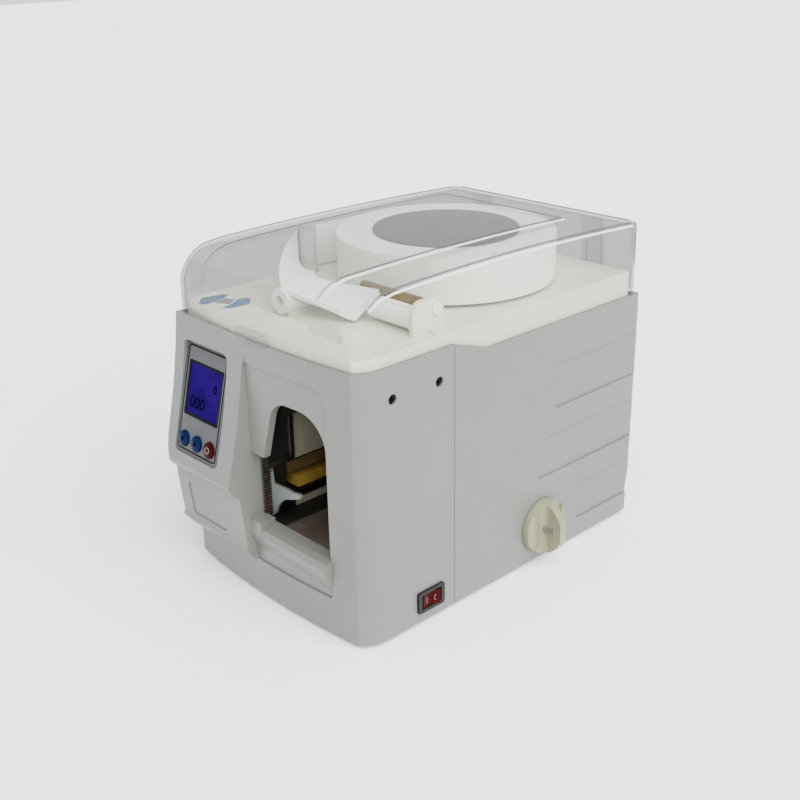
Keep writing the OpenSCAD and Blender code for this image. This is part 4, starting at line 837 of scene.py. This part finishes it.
# %% Line and circle on the rocker
ROCKER = middle_of(*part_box("rocker_frame"))
WALL_X = OX + HALF_W
PIVOT = Vector((WALL_X - 2, ROCKER.y, 0)) * MM
ROCKER_TURN = (Matrix.Translation(PIVOT) @ Matrix.Rotation(radians(-9), 4, "Z")
               @ Matrix.Translation(-PIVOT))
FACE_SLOPE = atan2(2.0, 6.6)
FACE_OUT, FACE_SIDE = 1.65, 3.5


def lean_with_face(piece, side):
    slope = Matrix.Rotation(FACE_SLOPE * side, 4, "Z")
    place = Vector((WALL_X + FACE_OUT, ROCKER.y + side * FACE_SIDE, ROCKER.z)) * MM
    piece.matrix_world = ROCKER_TURN @ Matrix.Translation(place) @ slope @ piece.matrix_world
    put_in_mesh(piece)


line_mark = block("line_mark", (-0.15, -0.35, -2.2), (0.15, 0.35, 2.2))
round_edges(line_mark, 0.1)
lean_with_face(line_mark, -1)
settle(line_mark, "rocker", ink_pale)

deselect()
bpy.ops.mesh.primitive_torus_add(major_radius=1.7 * MM, minor_radius=0.3 * MM, major_segments=32,
                                 minor_segments=8, rotation=(0, radians(90), 0))
circle_mark = bpy.context.object
circle_mark.name = "circle_mark"
lean_with_face(circle_mark, 1)
settle(circle_mark, "rocker", ink_pale)

# %% [markdown]
# ## The mark on the tray
# A blue print at the front left of the tray shows which way the tape runs. It
# is drawn here as two plain arrow heads with a pale bar between them.

# %% Arrow on the tray
MARK = (Matrix.Translation((OX - 62.5, OY - 105.0, TRAY_TOP + 0.02))
        @ Matrix.Rotation(radians(16), 4, "Z"))
MARK_T = 0.08


def flat_mark(name, outline, colour_finish):
    deselect()
    bpy.ops.mesh.primitive_circle_add(vertices=len(outline), radius=MM, fill_type="NGON")
    piece = bpy.context.object
    piece.name = name
    for vertex, (x, y) in zip(piece.data.vertices, outline):
        vertex.co = MARK @ Vector((x, y, 0)) * MM
    thicken(piece, MARK_T)
    settle(piece, "machine", colour_finish)


flat_mark("mark_left", [(-18, -2), (-12, -12), (-7, -12), (-4.5, -5), (-4.5, 6), (-7, 12.5), (-12, 10)],
          ink_blue)
flat_mark("mark_bar", [(-3.8, -6), (7, -3.8), (3.6, 6), (-3.8, 5.5)], ink_rose)
flat_mark("mark_right", [(18, 2), (12, 11.5), (7, 12.5), (4.6, 6.5), (8, -4.6), (5.5, -11.5), (12.5, -10)],
          ink_blue)

# %% [markdown]
# ## The running tape
# The tape leaves the roll upright, passes round the outer side of the guide
# post, turns flat on its way to the white guide tube and lies on the saddle. A
# second piece goes over the turn roller and dives into the tray behind it. Each
# is a grid whose rows are laid along its route, and a row is a middle and a
# direction across the tape.

# %% Paper along its route
TAPE_W = (roll_high[2] - roll_low[2]) / MM
TURNS_R = (roll_high[0] - roll_low[0]) / 2 / MM + 0.45
sleeve_low, sleeve_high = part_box("guide_sleeve")
POST = middle_of(sleeve_low, sleeve_high)
SLEEVE_R = (sleeve_high[0] - sleeve_low[0]) / 2 / MM + 0.4
POST_DROP = 0.8
LEAVE_ANGLE = radians(228 - 360)
roller_low, roller_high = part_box("turn_roller")
ROLLER = middle_of(roller_low, roller_high)
FLANGE = 1.0
ROLLER_TOP = roller_high[2] / MM - FLANGE
TUBE_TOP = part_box("twist_guide")[1][2] / MM
UP, FORWARDS, SIDEWAYS = Vector((0, 0, 1)), Vector((0, -1, 0)), Vector((1, 0, 0))
print("tape", TAPE_W, "mm wide; round the roll at radius", round(TURNS_R, 1))


def smooth(t):
    return t * t * (3 - 2 * t)


def spread_over(first, last, count):
    return [first + (last - first) * i / (count - 1) for i in range(count)]


def bezier(a, b, c, d, t):
    return a * (1 - t) ** 3 + b * 3 * t * (1 - t) ** 2 + c * 3 * t * t * (1 - t) + d * t ** 3


def heading(angle):
    return Vector((cos(angle), sin(angle), 0))


def upright_rows():
    gap = POST - ROLL_CENTRE
    tangent = atan2(gap.y, gap.x) - acos((TURNS_R - SLEEVE_R) / gap.xy.length)
    rows = []
    for angle in spread_over(tangent - radians(12), tangent, 9):
        rows.append((ROLL_CENTRE + heading(angle) * TURNS_R, UP))
    at_post = Vector((POST.x, POST.y, ROLL_CENTRE.z - POST_DROP))
    for angle in spread_over(tangent, LEAVE_ANGLE, 11):
        rows.append((at_post + heading(angle) * SLEEVE_R, UP))
    return rows


def turning_rows(first):
    over = Vector((OX - 13.0, OY - 82.5, TUBE_TOP + 0.4))
    leaving = first + heading(LEAVE_ANGLE + radians(90)) * 10
    arriving = over + Vector((-16, 9, 3))
    rows = []
    for t in spread_over(1 / 28, 1, 28):
        side = UP.lerp(FORWARDS, smooth(t)).normalized()
        rows.append((bezier(first, leaving, arriving, over, t), side))
    return rows


def saddle_rows():
    front_start = Vector((OX - 11, OY - 98.5, TUBE_TOP - 0.6))
    front_end = Vector((OX + 31.5, OY - 76, TRAY_TOP + 2.5))
    back_start = Vector((OX - 11, OY - 66.5, TUBE_TOP - 0.6))
    back_end = Vector((OX + 31.5, OY - 55, ROLLER_TOP - 0.5))
    rows = []
    for u in spread_over(0, 0.97, 9):
        front = front_start.lerp(front_end, u)
        back = back_start.lerp(back_end, u)
        side = (front - back).normalized()
        lift = Vector((0, side.z, -side.y)) * 0.5
        rows.append(((front + back) / 2 + lift, side))
    return rows


def ribbon(name, rows, width, body, finish=paper, depth=0.12):
    deselect()
    bpy.ops.mesh.primitive_grid_add(x_subdivisions=len(rows) - 1, y_subdivisions=6, size=MM)
    piece = bpy.context.object
    piece.name = name
    order = sorted(piece.data.vertices, key=lambda v: (round(v.co.x, 8), v.co.y))
    across = len(order) // len(rows)
    for i, vertex in enumerate(order):
        middle, side = rows[i // across]
        share = (i % across) / (across - 1) - 0.5
        vertex.co = (middle + side * width * share) * MM
    thicken(piece, depth, 0.0)
    settle(piece, body, finish)
    return piece


def roller_rows():
    strip_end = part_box("tape_strip")[0][2] / MM
    on_roller = Vector((OX + 51, ROLLER.y, ROLLER.z))
    wrap = roller_high[1] / MM - ROLLER.y - FLANGE + 0.35
    rows = []
    for turn in spread_over(110, -2.5, 10):
        out = Vector((0, cos(radians(turn)), sin(radians(turn))))
        rows.append((on_roller + out * wrap, SIDEWAYS))
    for z in (TRAY_TOP - 2, TRAY_TOP - 8, strip_end):
        rows.append((Vector((on_roller.x, OY - 54.7, z)), SIDEWAYS))
    return rows


free_rows = upright_rows()
free_rows += turning_rows(free_rows[-1][0])
free_rows += saddle_rows()
ribbon("free_tape", free_rows, TAPE_W - 1.6, "machine")

roller_tape = ribbon("roller_tape", roller_rows(), TAPE_W, "machine")
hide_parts("tape_strip")

# %% [markdown]
# ## Ends of the brass stay
# The brass stay behind the turn roller ends in a white cap on the outside of
# the ear and in a dark tip on its free end.

# %% Cap and tip
stay_low, stay_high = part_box("brass_stay")
STAY = middle_of(stay_low, stay_high)
STAY_START = stay_low[0] / MM


def stay_end(name, x0, x1, radius, outside, finish):
    piece = drum(name, ((x0 + x1) / 2, STAY.y, STAY.z), radius, x1 - x0, "X", 32)
    pick(piece, lambda way: way.x * outside > FACING)
    bpy.ops.mesh.inset(thickness=0.9 * MM)
    bpy.ops.transform.translate(value=(-0.35 * outside * MM, 0, 0))
    leave()
    round_edges(piece, 0.35)
    settle(piece, "machine", finish)


stay_end("stay_cap", OX + 75.6, OX + 77.0, 3.7, 1, white_plastic)
stay_end("stay_tip", STAY_START - 1.4, STAY_START, 2.7, -1, black_plastic)

# %% [markdown]
# ## Edges of the clear cover
# A bare see-through shell would show no edges at all. In the photograph the
# edges carry a thin purple grey line, and bright reflections run beside the
# raised panel and under the right edge; these are painted as highlight strips
# of near-white plastic. Each is a narrow strip laid where straight lines sent
# at the cover meet it, so it follows the cover's bends.

# %% Lines along the cover's edges
cover = nodes["clear_cover"]
BACKWARDS = -FORWARDS
ABOVE, BESIDE = 20, 160


def top_at(x, y):
    return cover.ray_cast(Vector((x, y, COVER_TOP + ABOVE)) * MM, -UP)[1].z / MM


def end_at(x, y, z, outside):
    found, place = cover.ray_cast((Vector((x, y, z)) + outside * BESIDE) * MM, -outside)[:2]
    return place / MM if found else None


def edge_line(name, rows, width, finish=clear_edge, depth=0.3):
    ribbon(name, [row for row in rows if row], width, "lid", finish, depth)


def crest(x, y, outside):
    z = top_at(x, y)
    hit = end_at(x, y, z - 0.3, outside)
    return (Vector((hit.x, hit.y, z)), (outside - UP) * 0.7) if hit else None


def shoulder(y, z, outside):
    hit = end_at(OX, y, z, outside)
    return (hit + outside * 0.05, UP) if hit else None


EDGE_X, EDGE_Y = 80.5, OY + 129.5
LONG = spread_over(OY - 112, OY + 128, 49)
WIDE = spread_over(OX - 79, OX + 79, 33)
edge_line("top_edge_right", [crest(OX + EDGE_X, y, SIDEWAYS) for y in LONG], 1.5)
edge_line("top_edge_left", [crest(OX - EDGE_X, y, -SIDEWAYS) for y in LONG], 1.3)
# Painted highlight: a near-white strip on the slope under the right top edge, for the reflection seen
# there.
highlight_rows = [shoulder(y, top_at(OX + EDGE_X, y) - 2.2, SIDEWAYS) for y in LONG]
edge_line("bevel_painted_highlight", highlight_rows, 1.5, clear_painted_highlight, 0.1)
edge_line("top_edge_rear", [crest(x, EDGE_Y, BACKWARDS) for x in WIDE], 1.3)


def step_line(x, y, outside):
    low_z = top_at(x + outside * 1.5, y)
    high_z = top_at(x - outside * 1.5, y)
    down_step = Vector((0.5, 0, -0.86 * outside))
    return Vector((x + outside * 0.1, y, (low_z + high_z) / 2)), down_step


PANEL_LEFT, PANEL_RIGHT, PANEL_REAR = OX - HALF_W + 23, OX + HALF_W - 42, OY + 100
PANEL_LONG = spread_over(OY - 116, PANEL_REAR, 45)
PANEL_WIDE = spread_over(PANEL_LEFT + 0.5, PANEL_RIGHT - 0.5, 25)
edge_line("panel_right", [step_line(PANEL_RIGHT, y, 1) for y in PANEL_LONG], 1.2)
edge_line("panel_left", [step_line(PANEL_LEFT, y, -1) for y in PANEL_LONG], 1.0)

# Painted highlight: a near-white strip beside the panel's right step, for the reflection on its bevel.
HIGHLIGHT_X = PANEL_RIGHT + 3.0
highlight_rows = [(Vector((HIGHLIGHT_X, y, top_at(HIGHLIGHT_X, y) + 0.06)), SIDEWAYS) for y in PANEL_LONG]
edge_line("panel_painted_highlight", highlight_rows, 3.2, clear_painted_highlight, 0.1)

rear_slant = Vector((0, 0.4, -0.9))
rear_rows = []
for x in PANEL_WIDE:
    z = top_at(x, PANEL_REAR + 2) + 0.6
    rear_rows.append((Vector((x, PANEL_REAR + 0.1, z)), rear_slant))
edge_line("panel_rear", rear_rows, 1.0)

CORNER_X = OX + 83.6
CORNER_TALL = spread_over(TRAY_TOP + 4, COVER_TOP - 5, 9)
corner_rows = [(end_at(CORNER_X, OY, z, BACKWARDS), SIDEWAYS) for z in CORNER_TALL]
edge_line("corner_rear_right", corner_rows, 1.2)

# %% [markdown]
# ## Straps of the hinges
# Through the rear wall one sees that each hinge holds the cover by a channel
# with two upright ribs. One channel is made and a copy serves the other side.
# Both lean forward with the rear wall.

# %% Hinge straps
STRAP_X, STRAP_HALF_W = 52.0, 8.6
STRAP_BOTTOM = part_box("hinge_pins")[1][2] / MM + 4.5
STRAP_TOP = COVER_TOP - 6
REAR_LEAN = 0.0864


def strap(name, middle_x):
    piece = block(name, (middle_x - STRAP_HALF_W, OY + 128.2, STRAP_BOTTOM),
                  (middle_x + STRAP_HALF_W, OY + 131.4, STRAP_TOP))
    pick(piece, lambda way: way.y < -FACING)
    bpy.ops.mesh.inset(thickness=1.3 * MM)
    bpy.ops.mesh.extrude_region_move(TRANSFORM_OT_translate={"value": (0, 2.4 * MM, 0)})
    leave()
    for vertex in piece.data.vertices:
        vertex.co.y -= REAR_LEAN * (vertex.co.z - STRAP_BOTTOM * MM)
    return piece


first_strap = strap("strap_left", OX - STRAP_X)
second_strap = first_strap.copy()
second_strap.data = first_strap.data.copy()
second_strap.name = "strap_right"
bpy.context.scene.collection.objects.link(second_strap)
second_strap.data.transform(Matrix.Translation(SIDEWAYS * 2 * STRAP_X * MM))
for piece in (first_strap, second_strap):
    round_edges(piece, 0.25)
    settle(piece, "lid", clear_strap)

# %% [markdown]
# ## Inside the slot
# Behind the arched opening a dark channel stands in front of the painted
# sheet, and the toothed edge of the tape's path shows low on the left. They are
# small and nearly black, but without them the slot looks like an empty box.

# %% Channel and comb in the slot
WALL = OX - 12.8
COMB_PITCH, COMB_TEETH = 2.1, 20
channel = block("slot_channel", (WALL - 0.2, OY - 118.5, 91.0), (WALL + 2.6, OY - 95.5, 141.0))
pick(channel, lambda way: way.x > FACING)
bpy.ops.mesh.inset(thickness=3.4 * MM)
bpy.ops.mesh.extrude_region_move(TRANSFORM_OT_translate={"value": (-1.6 * MM, 0, 0)})
leave()
round_edges(channel, 0.4)
settle(channel, "machine", dark_sheet)

comb = block("comb_tooth", (WALL - 1.1, OY - 120.5, 57.0), (WALL + 0.6, OY - 112.5, 58.3))
round_edges(comb, 0.25, 1)
teeth = comb.modifiers.new("teeth", "ARRAY")
teeth.use_relative_offset = False
teeth.use_constant_offset = True
teeth.constant_offset_displace = (0, 0, COMB_PITCH * MM)
teeth.count = COMB_TEETH
apply_modifier(comb, teeth)
comb.name = "channel_comb"
settle(comb, "machine", mottled_brown)

# %% [markdown]
# ## Pins in the mains inlet
# The rear has the usual inlet with three flat pins. No cord shows in the
# photograph, so the inlet stays empty.

# %% Inlet pins
low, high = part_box("power_inlet")
inlet = middle_of(low, high)
PIN_HALF = Vector((1.0, 5.5, 2.2))
PIN_Y = high[1] / MM - 9.5
TAPER = (0.7, 1.0, 0.8)
for number, (x, z) in enumerate([(-7, -2), (7, -2), (0, 3)], 1):
    pin_middle = Vector((inlet.x + x, PIN_Y, inlet.z + z))
    pin_tip = pin_middle + BACKWARDS * PIN_HALF.y
    pin = block("inlet_pin_%d" % number, pin_middle - PIN_HALF, pin_middle + PIN_HALF)
    pick(pin, lambda way: way.y > FACING)
    bpy.ops.transform.resize(value=TAPER, center_override=pin_tip * MM)
    leave()
    round_edges(pin, 0.25)
    settle(pin, "machine", steel)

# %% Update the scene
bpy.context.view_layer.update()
